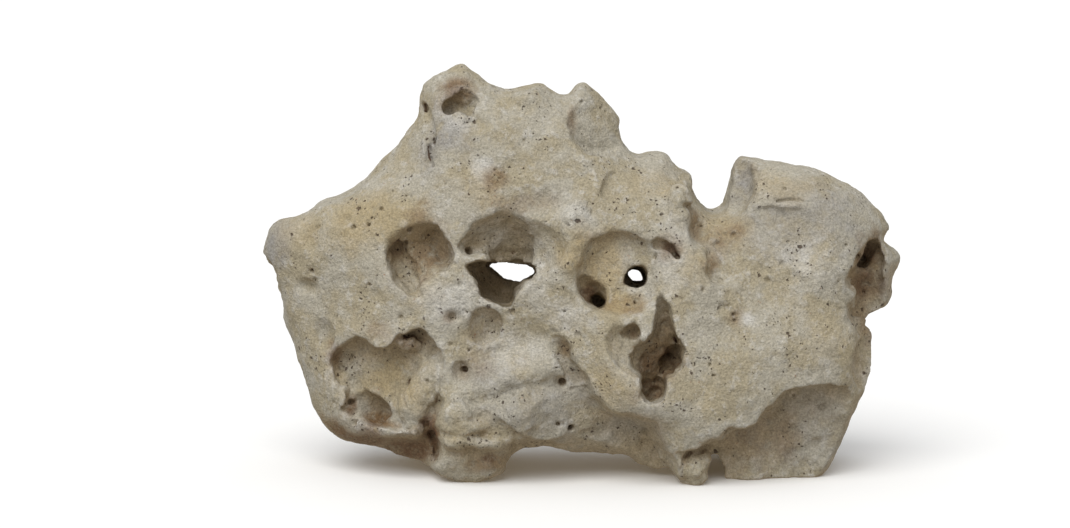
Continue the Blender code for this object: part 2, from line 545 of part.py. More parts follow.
def make_rock():
    """The boulder, with its lumps, hollows and levelled feet."""
    bm = bmesh.new()
    add_slab(bm)
    for _, centre, size, turn in LUMPS:
        add_ball(bm, centre, size, turn)
    for _, path in RIDGES:
        add_bore(bm, path)
    rock = new_object("holey_rock", bm)
    fuse(rock, FUSE_CELL, 4)
    weather(rock)
    thin(rock, BODY_FACES)
    hollows, floor_block = make_hollows(), make_floor_block()
    cut(rock, hollows)
    cut(rock, floor_block)
    centre_on_floor(rock, [hollows])
    rock.data.materials.append(limestone())
    return rock


clear_scene()
make_rock()
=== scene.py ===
"""A holey rock: one boulder of pale porous limestone, drilled by water, on a plain pale floor.

The rock is worked out in millimetres as a signed distance field on a grid, negative inside the
stone.  Its tunnels give it handles, so no single sheet of two parameters can cover it; the field is
still whole-array arithmetic from start to end, and the skin is read from it in one step.  The order
is that of the real stone's history: a slab with a front and a back relief, lumps fused to it, bowls
and bores carved from it, what stands inside them, then ragged weathering and pits.
"""

from __future__ import annotations

import logging
import math
import sys
from dataclasses import dataclass, field
from enum import Enum
from functools import reduce
from typing import Iterator, Sequence

import bpy
import numpy as np
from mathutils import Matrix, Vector

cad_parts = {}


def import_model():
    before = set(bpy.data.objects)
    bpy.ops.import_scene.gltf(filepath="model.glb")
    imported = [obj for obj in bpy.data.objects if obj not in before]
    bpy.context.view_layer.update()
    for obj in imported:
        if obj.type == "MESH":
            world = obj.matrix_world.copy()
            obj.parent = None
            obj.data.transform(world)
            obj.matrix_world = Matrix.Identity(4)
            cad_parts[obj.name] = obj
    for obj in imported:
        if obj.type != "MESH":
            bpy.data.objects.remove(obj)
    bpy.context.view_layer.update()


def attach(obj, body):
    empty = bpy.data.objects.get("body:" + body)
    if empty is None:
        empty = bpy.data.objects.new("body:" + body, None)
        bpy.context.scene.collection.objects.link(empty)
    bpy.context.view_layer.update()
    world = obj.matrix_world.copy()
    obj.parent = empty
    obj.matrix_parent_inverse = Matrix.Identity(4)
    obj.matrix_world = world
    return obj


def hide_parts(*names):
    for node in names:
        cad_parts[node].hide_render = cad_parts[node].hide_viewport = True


log = logging.getLogger("holey_rock")

NODE = "holey_rock"
MM = 0.001
IMAGE_WIDTH = 1070
SHIFT = (1.407, -4.979, 0.0)     # from the drawing's zero to the middle of the rock's box, mm

PLANE = -50.0                    # y of the plane on which the windows' loops are drawn, mm
FALL = 0.1405                    # how far a window's sweep drops for each mm inwards
NEAREST, FARTHEST = -95.0, 100.0   # y in front of all stone and behind it, mm
LOOP_STEPS = 5                   # points made between two drawn points of a window's loop
TABLE_STEP = 0.9                 # spacing of the table that holds the depth inside a loop, mm
TABLE_MARGIN = 12.0              # free space round the loop in that table, mm
RELIEF_UNIT = 100.0              # mm; the reliefs are solved in this unit
RELIEF_SLACK = 1e-3              # lets a relief pass a little beside its stations
HASH_PRIMES = (73856093, 19349663, 83492791)
HASH_SEED, HASH_MIX = 40503, 1274126177
LAYER_SHIFT, LAYER_RATIO = 17.3, 2.03   # how a noise's layers are set apart and made finer
SMALL = 1e-6                     # keeps a divisor away from zero

Point = tuple[float, float, float]
Row = tuple[float, ...]
Grids = tuple[np.ndarray, np.ndarray, np.ndarray]
Block = tuple[slice, slice, slice]


# ---- Shapes that are fused to the stone or carved from it ----


class Side(Enum):
    """What a shape does to the stone."""

    FUSE = "fuse"
    CARVE = "carve"


def turn_matrix(turn: Point) -> np.ndarray:
    """Rotation about X, then Y, then Z.

    Args:
        turn: the three angles in degrees.

    Returns:
        A 3 by 3 matrix whose columns are the turned axes.
    """
    a, b, c = np.radians(turn)
    about_x = np.array([[1, 0, 0], [0, np.cos(a), -np.sin(a)], [0, np.sin(a), np.cos(a)]])
    about_y = np.array([[np.cos(b), 0, np.sin(b)], [0, 1, 0], [-np.sin(b), 0, np.cos(b)]])
    about_z = np.array([[np.cos(c), -np.sin(c), 0], [np.sin(c), np.cos(c), 0], [0, 0, 1]])
    return about_z @ about_y @ about_x


@dataclass(frozen=True)
class Ball:
    """An ellipsoid with half sizes along its own turned axes, in millimetres."""

    name: str
    centre: Point
    half: Point
    turn: Point = (0.0, 0.0, 0.0)
    blend: float = 3.0
    ragged: float = 1.0

    def box(self, margin: float) -> tuple[np.ndarray, np.ndarray]:
        """Lowest and highest corner of the ball's box, grown by the margin."""
        reach = np.sqrt(((turn_matrix(self.turn) * np.array(self.half)) ** 2).sum(axis=1)) + margin
        return np.array(self.centre) - reach, np.array(self.centre) + reach

    def distance(self, grids: Grids) -> np.ndarray:
        """Distance to the ball: k0 (k0 - 1) / k1, where k0 is the length of p / r and k1 of p / r^2.

        Args:
            grids: x, y and z, shaped to broadcast with each other.

        Returns:
            The distance, negative inside, exact at the skin.
        """
        axes = turn_matrix(self.turn)
        dx, dy, dz = (grid - middle for grid, middle in zip(grids, self.centre))
        first: np.ndarray | float = 0.0
        second: np.ndarray | float = 0.0
        for column, radius in zip(axes.T, self.half):
            along = column[0] * dx + column[1] * dy + column[2] * dz
            first = first + (along / radius) ** 2
            second = second + (along / radius**2) ** 2
        length = np.sqrt(first)
        return length * (length - 1.0) / np.maximum(np.sqrt(second), SMALL)


@dataclass(frozen=True)
class Bore:
    """A winding, tapering tube: a chain of round cones through (x, y, z, radius)."""

    name: str
    path: tuple[tuple[float, float, float, float], ...]
    blend: float = 2.5
    ragged: float = 1.0

    def box(self, margin: float) -> tuple[np.ndarray, np.ndarray]:
        """Lowest and highest corner of the bore's box, grown by the margin."""
        rows = np.array(self.path)
        return ((rows[:, :3] - rows[:, 3:]).min(axis=0) - margin,
                (rows[:, :3] + rows[:, 3:]).max(axis=0) + margin)

    def distance(self, grids: Grids) -> np.ndarray:
        """Distance to the nearest span, less the radius there, which runs evenly along the span.

        Args:
            grids: x, y and z, shaped to broadcast with each other.

        Returns:
            The distance, negative inside.
        """
        x, y, z = grids
        rows = np.array(self.path)
        nearest: np.ndarray | None = None
        for a, b in zip(rows[:-1], rows[1:]):
            way = b[:3] - a[:3]
            t = ((x - a[0]) * way[0] + (y - a[1]) * way[1] + (z - a[2]) * way[2]) / (way @ way)
            t = np.clip(t, 0.0, 1.0)
            gap = np.sqrt((x - a[0] - way[0] * t) ** 2 + (y - a[1] - way[1] * t) ** 2
                          + (z - a[2] - way[2] * t) ** 2) - (a[3] + (b[3] - a[3]) * t)
            nearest = gap if nearest is None else np.minimum(nearest, gap)
        assert nearest is not None
        return nearest


@dataclass(frozen=True)
class Window:
    """A hollow with a drawn rim: a loop swept inwards to a floor.

    The loop is drawn on the plane y = PLANE, and the sweep falls by FALL as it goes in, so every
    hollow dips a little towards the back.
    """

    name: str
    rim: float                    # y at which the opening is as wide as the loop
    floor: float                  # y of the floor, below the loop's middle
    tilt: tuple[float, float]     # how the floor's y changes along x and along z
    corner: float                 # radius between the wall and the floor
    taper: float                  # how fast the walls close in with depth
    blend: float
    ragged: float
    loop: tuple[tuple[float, float], ...]

    def box(self, margin: float) -> tuple[np.ndarray, np.ndarray]:
        """Lowest and highest corner of the part of the window that can reach stone."""
        rows = np.array(self.loop, float)
        low, high = rows.min(axis=0) - margin, rows.max(axis=0) + margin
        deepest = min(self.floor + float(np.abs(self.tilt) @ (high - low)) / 2 + margin, FARTHEST)
        return (np.array((low[0], NEAREST, low[1] - FALL * (deepest - PLANE))),
                np.array((high[0], deepest, high[1] + FALL * (PLANE - NEAREST))))

    def distance(self, grids: Grids) -> np.ndarray:
        """Distance to the swept loop, where its wall and its floor meet in a rounded corner.

        Args:
            grids: x, y and z, shaped to broadcast with each other.

        Returns:
            The distance, negative inside.
        """
        x, y, z = grids
        rows = smooth_loop(self.loop, LOOP_STEPS)
        start, end = rows.min(axis=0) - TABLE_MARGIN, rows.max(axis=0) + TABLE_MARGIN
        plane = [np.arange(a, b, TABLE_STEP) for a, b in zip(start, end)]
        table = depth_inside(plane[0], plane[1], rows)
        u = np.clip((x - start[0]) / TABLE_STEP, 0, len(plane[0]) - 1.001)
        v = np.clip((z + FALL * (y - PLANE) - start[1]) / TABLE_STEP, 0, len(plane[1]) - 1.001)
        u, v = np.broadcast_arrays(u, v)
        i, j = u.astype(np.int32), v.astype(np.int32)
        u, v = u - i, v - j
        inside = ((1 - u) * (1 - v) * table[i, j] + u * (1 - v) * table[i + 1, j]
                  + (1 - u) * v * table[i, j + 1] + u * v * table[i + 1, j + 1])
        middle = rows.mean(axis=0)
        floor = self.floor + self.tilt[0] * (x - middle[0]) + self.tilt[1] * (z - middle[1])
        wall = self.taper * (y - self.rim) - inside + self.corner
        return rounded_corner(wall, y - floor + self.corner, self.corner)


Shape = Ball | Bore | Window


@dataclass(frozen=True)
class Dent:
    """A shallow dish pressed straight into the skin, wherever the skin lies at (x, z)."""

    at: tuple[float, float]
    half: tuple[float, float]
    depth: float
    turn: float = 0.0             # degrees, in the plane of the front
    flare: float = 1.6            # 1 gives upright walls, and more opens them out at the rim


@dataclass(frozen=True)
class Groove:
    """A channel that follows the skin through (x, z, radius) stations."""

    path: tuple[Point, ...]
    depth: float


# ---- Fields, noise and skins ----


def rounded_corner(q1: np.ndarray, q2: np.ndarray, radius: float | np.ndarray) -> np.ndarray:
    """Two faces that meet in a round: |max(q, 0)| + min(max(q1, q2), 0) - r.

    Args:
        q1: distance from the first face, plus the radius.
        q2: distance from the second, plus the radius.
        radius: of the round.

    Returns:
        The distance, negative inside both faces.
    """
    outside = np.sqrt(np.maximum(q1, 0) ** 2 + np.maximum(q2, 0) ** 2)
    return outside + np.minimum(np.maximum(q1, q2), 0) - radius


def smooth_least(a: np.ndarray, b: np.ndarray, width: float) -> np.ndarray:
    """The lesser of two fields, its crease rounded: b (1 - h) + a h - w h (1 - h).

    Args:
        a: first field.
        b: second field.
        width: how far apart the two still blend, in millimetres.

    Returns:
        The joined field.
    """
    h = np.clip(0.5 + 0.5 * (b - a) / width, 0.0, 1.0)
    return b * (1 - h) + a * h - width * h * (1 - h)


def cell_corners(f: np.ndarray) -> Iterator[tuple[list[int], np.ndarray]]:
    """Each corner of a cell, as 0 or 1 along each axis, with its weight at every point.

    Args:
        f: N places inside the cell, from 0 to 1 along each axis.

    Yields:
        The corner, and N weights: the product of f or 1 - f.
    """
    for corner in range(2 ** f.shape[1]):
        bits = [(corner >> k) & 1 for k in range(f.shape[1])]
        weight = np.ones(len(f), np.float32)
        for k, bit in enumerate(bits):
            weight *= f[:, k] if bit else 1 - f[:, k]
        yield bits, weight


def lattice_noise(points: np.ndarray, cell: float, seed: int) -> np.ndarray:
    """Smooth noise: a hashed value at each lattice corner, eased between corners by 6t^5-15t^4+10t^3.

    Args:
        points: N points with 2 or 3 coordinates.
        cell: lattice spacing, in the points' unit.
        seed: picks one pattern.

    Returns:
        N values between -1 and 1.
    """
    q = np.asarray(points, np.float32) / np.float32(cell)
    base = np.floor(q).astype(np.int64)
    f = (q - base).astype(np.float32)
    f = f * f * f * (f * (f * 6 - 15) + 10)
    total = np.zeros(len(q), np.float32)
    for bits, weight in cell_corners(f):
        mixed = np.full(len(q), seed * HASH_SEED, np.int64)
        for k, bit in enumerate(bits):
            mixed ^= (base[:, k] + bit) * HASH_PRIMES[k]
        mixed = (mixed ^ (mixed >> 13)) * HASH_MIX
        mixed = (mixed ^ (mixed >> 16)) & 0xFFFF
        total += weight * (mixed / 32767.5 - 1).astype(np.float32)
    return total


@dataclass(frozen=True)
class Noise:
    """A sum of noises, each with half the height and about half the cell of the one before."""

    cell: float                   # spacing of the coarsest layer, mm
    seed: int
    layers: int = 3
    height: float = 1.0

    def at(self, points: np.ndarray) -> np.ndarray:
        """Values at N points, mostly between -height and height."""
        total = np.zeros(len(points), np.float32)
        for layer in range(self.layers):
            shifted = np.asarray(points) + LAYER_SHIFT * layer
            cell = self.cell / LAYER_RATIO**layer
            total += 0.5**layer * lattice_noise(shifted, cell, self.seed + layer)
        return self.height * total


RIM_FRAY = (Noise(11.0, 5, 3, 1.1), Noise(4.2, 15, 2, 0.7))   # frays the rims of every shape
SWAY = (Noise(21.0, 51, 2, 1.6), Noise(21.0, 67, 2, 1.6))     # bends shapes along x and along z
BROAD_WAVE = Noise(34.0, 3, 3, 1.5)       # slow weathering of the whole skin
RIPPLE = Noise(6.5, 11, 3)                # its small roughness
PORE_CROWD = Noise(26.0, 23, 2)           # where the small pores gather
STAIN_FRAY = Noise(16.0, 41, 3, 0.35)     # breaks the stains' edges


def smooth_loop(points: Sequence[tuple[float, float]], steps: int) -> np.ndarray:
    """Closed Catmull-Rom curve through the points.

    Args:
        points: drawn points, in order.
        steps: points made for each span.

    Returns:
        An array of (x, z) rows.
    """
    p = np.array(points, float)
    a, b, c, d = (np.roll(p, shift, axis=0)[:, None] for shift in (1, 0, -1, -2))
    t = (np.arange(steps) / steps)[None, :, None]
    return (0.5 * (2 * b + (c - a) * t + (2 * a - 5 * b + 4 * c - d) * t**2
                   + (3 * b - a - 3 * c + d) * t**3)).reshape(-1, 2)


def depth_inside(x: np.ndarray, z: np.ndarray, loop: np.ndarray) -> np.ndarray:
    """Distance to a closed loop on a plane grid, positive inside by the even-odd rule.

    Args:
        x: values of x along the grid's first axis.
        z: values of z along its second.
        loop: rows of (x, z).

    Returns:
        An array of len(x) by len(z).
    """
    px, pz = (g.ravel().astype(np.float32) for g in np.meshgrid(x, z, indexing="ij"))
    nearest = np.full(px.shape, 1e9, np.float32)
    inside = np.zeros(px.shape, bool)
    for (ax, az), (bx, bz) in zip(loop, np.roll(loop, -1, axis=0)):
        wx, wz = bx - ax, bz - az
        t = np.clip(((px - ax) * wx + (pz - az) * wz) / max(wx * wx + wz * wz, 1e-9), 0.0, 1.0)
        nearest = np.minimum(nearest, (px - ax - t * wx) ** 2 + (pz - az - t * wz) ** 2)
        if az != bz:
            inside ^= ((az > pz) != (bz > pz)) & (px < ax + (pz - az) / wz * wx)
    nearest = np.sqrt(nearest)
    return np.where(inside, nearest, -nearest).reshape(len(x), len(z))


def relief(stations: Sequence[Point], x: np.ndarray, z: np.ndarray) -> np.ndarray:
    """Thin-plate surface y(x, z) through the stations: a plane plus a sum of w r^2 log r.

    Args:
        stations: rows of (x, z, y).
        x: values of x along the grid's first axis.
        z: values of z along its second.

    Returns:
        y on the grid, len(x) by len(z).
    """
    known = np.array(stations, float) / RELIEF_UNIT
    count = len(known)

    def kernel(squared: np.ndarray) -> np.ndarray:
        """r^2 log r, from r squared."""
        return 0.5 * squared * np.log(np.maximum(squared, 1e-12))

    system = np.zeros((count + 3, count + 3))
    between = ((known[:, None, :2] - known[None, :, :2]) ** 2).sum(axis=2)
    system[:count, :count] = kernel(between) + RELIEF_SLACK * np.eye(count)
    system[:count, count] = system[count, :count] = 1.0
    system[:count, count + 1:] = known[:, :2]
    system[count + 1:, :count] = known[:, :2].T
    weights = np.linalg.solve(system, np.append(known[:, 2], np.zeros(3)))
    gx, gz = np.meshgrid(x / RELIEF_UNIT, z / RELIEF_UNIT, indexing="ij")
    total = weights[count] + weights[count + 1] * gx + weights[count + 2] * gz
    for (sx, sz, _), weight in zip(known, weights):
        total += weight * kernel((gx - sx) ** 2 + (gz - sz) ** 2)
    return RELIEF_UNIT * total


@dataclass
class Field:
    """A signed distance on a regular grid, in millimetres."""

    low: Point
    high: Point
    step: float
    reach: float = 3.0            # how far past its own blend a shape is worked out
    sway_from: float = 0.15       # shapes less ragged than this keep their drawn place
    far: float = 1e3              # the distance with which the grid starts
    normal_reach: float = 4.0     # how far to each side a normal looks
    values: np.ndarray = field(init=False)
    axes: list[np.ndarray] = field(init=False)
    ragged: np.ndarray = field(init=False)
    sway: list[np.ndarray] = field(init=False)

    def __post_init__(self) -> None:
        """Lay out the axes, and the noises in the plane of the front that fray and bend shapes."""
        counts = [int(math.ceil((b - a) / self.step)) + 1 for a, b in zip(self.low, self.high)]
        self.axes = [(a + self.step * np.arange(n)).astype(np.float32)
                     for a, n in zip(self.low, counts)]
        self.values = np.full(counts, self.far, np.float32)
        gx, gz = np.meshgrid(self.axes[0], self.axes[2], indexing="ij")
        plane = np.stack([gx.ravel(), gz.ravel()], axis=1)
        frayed = RIM_FRAY[0].at(plane) + RIM_FRAY[1].at(plane)
        self.ragged = frayed.reshape(gx.shape).astype(np.float32)
        self.sway = [noise.at(plane).reshape(gx.shape).astype(np.float32) for noise in SWAY]

    def block(self, low: np.ndarray, high: np.ndarray) -> Block | None:
        """The part of the grid inside a box, or None where they don't meet."""
        parts = []
        for a, b, start, axis in zip(low, high, self.low, self.axes):
            first = max(int(math.floor((a - start) / self.step)), 0)
            last = min(int(math.ceil((b - start) / self.step)) + 1, len(axis))
            if first >= last:
                return None
            parts.append(slice(first, last))
        return parts[0], parts[1], parts[2]

    def apply(self, shape: Shape, side: Side) -> None:
        """Fuse a shape to the stone, or carve it out, in the part of the grid that it reaches.

        Args:
            shape: the ball, bore or window.
            side: FUSE or CARVE.
        """
        part = self.block(*shape.box(shape.blend + self.reach))
        if part is None:
            log.warning("%s lies outside the grid", shape.name)
            return
        x = self.axes[0][part[0]][:, None, None]
        y = self.axes[1][part[1]][None, :, None]
        z = self.axes[2][part[2]][None, None, :]
        if shape.ragged > self.sway_from:
            x = x + self.sway[0][part[0], part[2]][:, None, :]
            z = z + self.sway[1][part[0], part[2]][:, None, :]
        gap = shape.distance((x, y, z)).astype(np.float32)
        gap += shape.ragged * self.ragged[part[0], part[2]][:, None, :]
        old = self.values[part]
        self.values[part] = (smooth_least(old, gap, shape.blend) if side is Side.FUSE
                             else -smooth_least(-old, gap, shape.blend))

    def apply_all(self, shapes: tuple[Shape, ...], side: Side) -> None:
        """Fuse or carve shapes in their order."""
        for shape in shapes:
            self.apply(shape, side)

    def band(self, width: float) -> tuple[np.ndarray, np.ndarray]:
        """Grid indices within this distance of the skin, and their places."""
        near = np.argwhere(np.abs(self.values) < width)
        return near, (near * self.step + np.array(self.low)).astype(np.float32)

    def sample(self, points: np.ndarray) -> np.ndarray:
        """The distance at N points, by trilinear weights."""
        q = (points - np.array(self.low)) / self.step
        q = np.clip(q, 0, np.array(self.values.shape) - 1.001)
        i = q.astype(int)
        total = np.zeros(len(q), np.float32)
        for bits, weight in cell_corners((q - i).astype(np.float32)):
            total += weight * self.values[i[:, 0] + bits[0], i[:, 1] + bits[1], i[:, 2] + bits[2]]
        return total

    def front(self, x: float, z: float) -> tuple[np.ndarray, np.ndarray]:
        """First skin met from -Y at (x, z), and the outward normal, averaged over normal_reach.

        Args:
            x: place across.
            z: place up.

        Returns:
            The point and the unit normal.
        """
        i, k = (int(round((v - self.low[a]) / self.step)) for v, a in ((x, 0), (z, 2)))
        column = self.values[i, :, k]
        j = max(int(np.argmax(column < 0)), 1)
        part = column[j - 1] / max(column[j - 1] - column[j], SMALL)
        spot = np.array((x, self.axes[1][j - 1] + part * self.step, z), float)
        reach = self.normal_reach * np.eye(3)
        slope = self.sample(spot + reach) - self.sample(spot - reach)
        return spot, slope / max(float(np.linalg.norm(slope)), SMALL)

    def skin(self) -> tuple[np.ndarray, np.ndarray]:
        """Surface nets: one point a cell, the mean of its edges' zero crossings, one quad a crossing.

        Returns:
            Points in millimetres, and quads that face outwards.
        """
        v, inside = self.values, self.values < 0
        whole = tuple(n - 1 for n in v.shape)
        corners = [(i, j, k) for i in (0, 1) for j in (0, 1) for k in (0, 1)]
        count = sum(inside[i:whole[0] + i, j:whole[1] + j, k:whole[2] + k].astype(np.uint8)
                    for i, j, k in corners)
        active = (count > 0) & (count < 8)
        number = np.full(active.shape, -1, np.int64)
        cells = np.argwhere(active)
        number[active] = np.arange(len(cells))
        at = {c: v[cells[:, 0] + c[0], cells[:, 1] + c[1], cells[:, 2] + c[2]] for c in corners}
        total = np.zeros((len(cells), 3), np.float32)
        met = np.zeros((len(cells), 1), np.float32)
        for a in corners:
            for axis in (k for k in range(3) if not a[k]):
                b = tuple(1 if k == axis else a[k] for k in range(3))
                crosses = (at[a] < 0) != (at[b] < 0)
                t = np.where(crosses, at[a] / np.where(crosses, at[a] - at[b], 1.0), 0.0)
                spot = np.tile(np.array(a, np.float32), (len(cells), 1))
                spot[:, axis] += t
                total += spot * crosses[:, None]
                met += crosses[:, None]
        points = (cells + total / met) * self.step + np.array(self.low)
        quads = []
        for axis in range(3):
            first, second = [(1, 2), (2, 0), (0, 1)][axis]
            near = [slice(1, n - 1) for n in v.shape]
            far = list(near)
            near[axis], far[axis] = slice(0, v.shape[axis] - 1), slice(1, v.shape[axis])
            here, there = inside[tuple(near)], inside[tuple(far)]
            edge = np.argwhere(here != there)
            outward = here[tuple(edge.T)]
            edge[:, first] += 1
            edge[:, second] += 1
            ring = []
            for u, w in ((1, 1), (0, 1), (0, 0), (1, 0)):
                cell = edge.copy()
                cell[:, first] -= u
                cell[:, second] -= w
                ring.append(number[tuple(cell.T)])
            quad = np.stack(ring, axis=1)
            quad[~outward] = quad[~outward][:, ::-1]
            quads.append(quad)
        return points, np.concatenate(quads)


# ---- The boulder ----

OUTLINE: tuple[tuple[float, float], ...] = (
    # left shoulder and the slope up to the peak
    (-225, 155), (-221, 168), (-212, 176), (-198, 179), (-183, 189), (-167, 194), (-154, 203),
    (-140, 217), (-125, 236), (-115, 250), (-111, 268), (-103, 277), (-93, 281), (-84, 285.5),
    # crest, with two low knobs
    (-76, 282), (-66, 275), (-55, 270), (-42, 271), (-30, 273.5), (-19, 267), (-11, 265.5),
    (-5, 272), (2, 273.5), (9, 268.5), (16, 260), (24, 248), (26, 234), (30, 226), (38, 221),
    (48, 222.5), (58, 222.5), (66, 213), (76, 206),
    # notch
    (77, 196), (83, 185), (91, 180.5), (100, 185), (105, 201), (107, 214),
    # right shoulder and end
    (114, 219.5), (135, 216), (160, 213), (174, 207), (188, 200), (201, 190), (213, 177.5),
    (217, 169), (213, 162), (221, 154), (225, 147), (220, 137), (218, 128), (218, 118),
    (212, 112.5), (203, 110), (199, 104), (204, 99), (205, 90), (203, 74), (197, 57), (189, 42),
    (181, 22), (172, 6),
    # underside, with its feet and arch
    (160, -6), (140, -8), (118, -4), (102, 1), (98, 9), (94, 17), (88, 16), (85, 5), (78, -2),
    (70, -4), (65, 3), (60, 7.5), (50, 4.5), (41, 8), (30, 14), (12, 17), (-8, 17.5), (-24, 22),
    (-38, 21.5), (-48, 17), (-56, 7), (-70, 3), (-90, 0), (-101, 4), (-112, 10), (-130, 14),
    (-142, 18), (-160, 21), (-174, 26),
    # left end
    (-186, 40), (-194, 58), (-200, 75), (-207, 93), (-215, 109), (-223, 124), (-227, 140),
)

# Relief of the front face, as (x, z, y).
FRONT: tuple[Point, ...] = (
    # crest and upper face
    (-92, 268, -20), (-66, 262, -26), (-38, 262, -24), (-5, 262, -20), (20, 240, -12),
    (-104, 240, -24), (-85, 240, -34), (-55, 240, -36), (-20, 238, -36), (10, 225, -32),
    (-125, 222, -16), (-112, 208, -32), (-92, 206, -44), (-60, 210, -46), (-20, 212, -46),
    (8, 206, -48), (40, 208, -34), (66, 200, -30),
    # left shoulder
    (-216, 160, -2), (-203, 172, -10), (-196, 158, -16), (-176, 170, -26), (-158, 176, -32),
    (-142, 188, -34), (-150, 152, -40), (-176, 140, -26), (-202, 122, -8), (-180, 118, -22),
    (-155, 120, -38), (-136, 135, -46),
    # between the bowls
    (-86, 160, -56), (-92, 184, -50), (-120, 118, -52), (-98, 126, -58), (-84, 132, -58),
    (-60, 116, -58), (-30, 128, -62), (-12, 150, -64), (-8, 170, -62), (-4, 190, -54),
    (30, 184, -54), (56, 182, -52), (58, 152, -58),
    # the plate on the right of the middle, proud of the bulges under it
    (-12, 120, -66), (-4, 100, -68), (6, 82, -72), (16, 66, -75), (30, 52, -76), (48, 48, -76),
    (74, 154, -62), (80, 132, -64), (70, 110, -68), (88, 92, -70), (70, 78, -74), (100, 70, -73),
    (80, 50, -76), (110, 52, -70), (90, 36, -72), (68, 30, -70), (124, 80, -68), (130, 62, -66),
    (140, 100, -60), (152, 78, -60), (168, 88, -54), (166, 112, -50), (182, 96, -48),
    # right shoulder
    (104, 160, -46), (122, 146, -46), (112, 120, -56), (100, 182, -34), (88, 194, -20),
    (126, 176, -40), (150, 134, -50), (174, 132, -46), (183, 146, -44), (180, 166, -38),
    (160, 172, -42), (152, 192, -34), (124, 204, -24), (176, 192, -26), (198, 184, -16),
    (214, 150, -6), (212, 118, -4),
    # lower left
    (-150, 92, -46), (-106, 82, -58), (-100, 50, -58), (-182, 62, -20), (-168, 84, -32),
    (-84, 60, -62), (-84, 10, -50), (-88, 84, -58), (-72, 92, -56),
    # long bulge and the arch under it
    (-50, 98, -54), (-26, 104, -56), (-52, 76, -64), (-26, 82, -62), (-46, 62, -60),
    (-40, 46, -66), (-12, 44, -60), (-36, 30, -58), (-8, 66, -58), (10, 44, -56), (28, 34, -54),
    (-10, 26, -48), (30, 20, -44), (50, 18, -46), (46, 30, -54),
)

# Relief of the back face, as (x, z, y).
BACK: tuple[Point, ...] = (
    (-215, 160, 38), (-200, 130, 48), (-150, 160, 56), (-100, 240, 32), (-60, 260, 30),
    (0, 255, 28), (-60, 200, 58), (0, 200, 60), (60, 200, 46), (-100, 120, 75), (0, 120, 80),
    (100, 120, 74), (150, 180, 50), (205, 165, 42), (212, 130, 46), (195, 90, 46),
    (120, 60, 80), (0, 50, 84), (-100, 50, 80), (-185, 80, 56), (110, 10, 74), (-80, 10, 70),
    (30, 10, 70),
)

# Lumps fused to the slab.
LUMPS: tuple[Shape, ...] = (
    Ball("nose", (-86, -57, 50), (14, 16, 17), (0, 20, 0), blend=5),
    Ball("nose low", (-82, -58, 42), (16, 15, 10), (0, 8, 0), blend=3),
    Ball("nose top", (-80, -58, 60), (8, 10, 8), blend=5),
    Ball("ledge under the nose", (-77, -54, 31), (26, 18, 8), (0, 6, 0), blend=2),
    Ball("left foot", (-79, -38, 12.5), (27, 23, 14.5), (0, 4, 0), blend=5),
    Bore("crest of the long bulge", ((-74, -56.5, 68, 5), (-58, -60.5, 71, 5), (-40, -60.5, 76, 5),
        (-24, -57.5, 83, 5), (-16, -57, 91, 4)), blend=5),
    Ball("long bulge", (-38, -55, 49), (36, 18, 19), (0, -3, 0), blend=6),
    Bore("plate edge", ((-18, -56, 110, 6), (-4, -60, 92, 9), (8, -64, 70, 10), (22, -66, 56, 10),
        (40, -66, 52, 10)), blend=6),
    Ball("plate foot", (71, -52, 30), (20, 18, 32), blend=8),
    Ball("dish ridge", (68, -38, 178), (11, 15, 30), (0, -6, 0), blend=7),
    Ball("right foot", (109, -34, 6), (12, 18, 20), blend=6),
    Ball("crest knob", (-38, -16, 262), (10, 9, 8), blend=6),
    Ball("ridge between the bowls", (-10, -54, 160), (12, 14, 40), (0, 8, 0), blend=8),
    Ball("rear left foot", (-92, 44, 12), (36, 26, 24), blend=14),
    Ball("rear right foot", (140, 44, 16), (36, 26, 30), blend=14),
    Ball("rear left lump", (-104, 62, 168), (34, 16, 26), blend=14),
    Ball("rear right lump", (92, 74, 74), (34, 18, 30), blend=14),
    Ball("rear shoulder", (-6, 66, 160), (22, 18, 30), (0, 20, 0), blend=12),
)

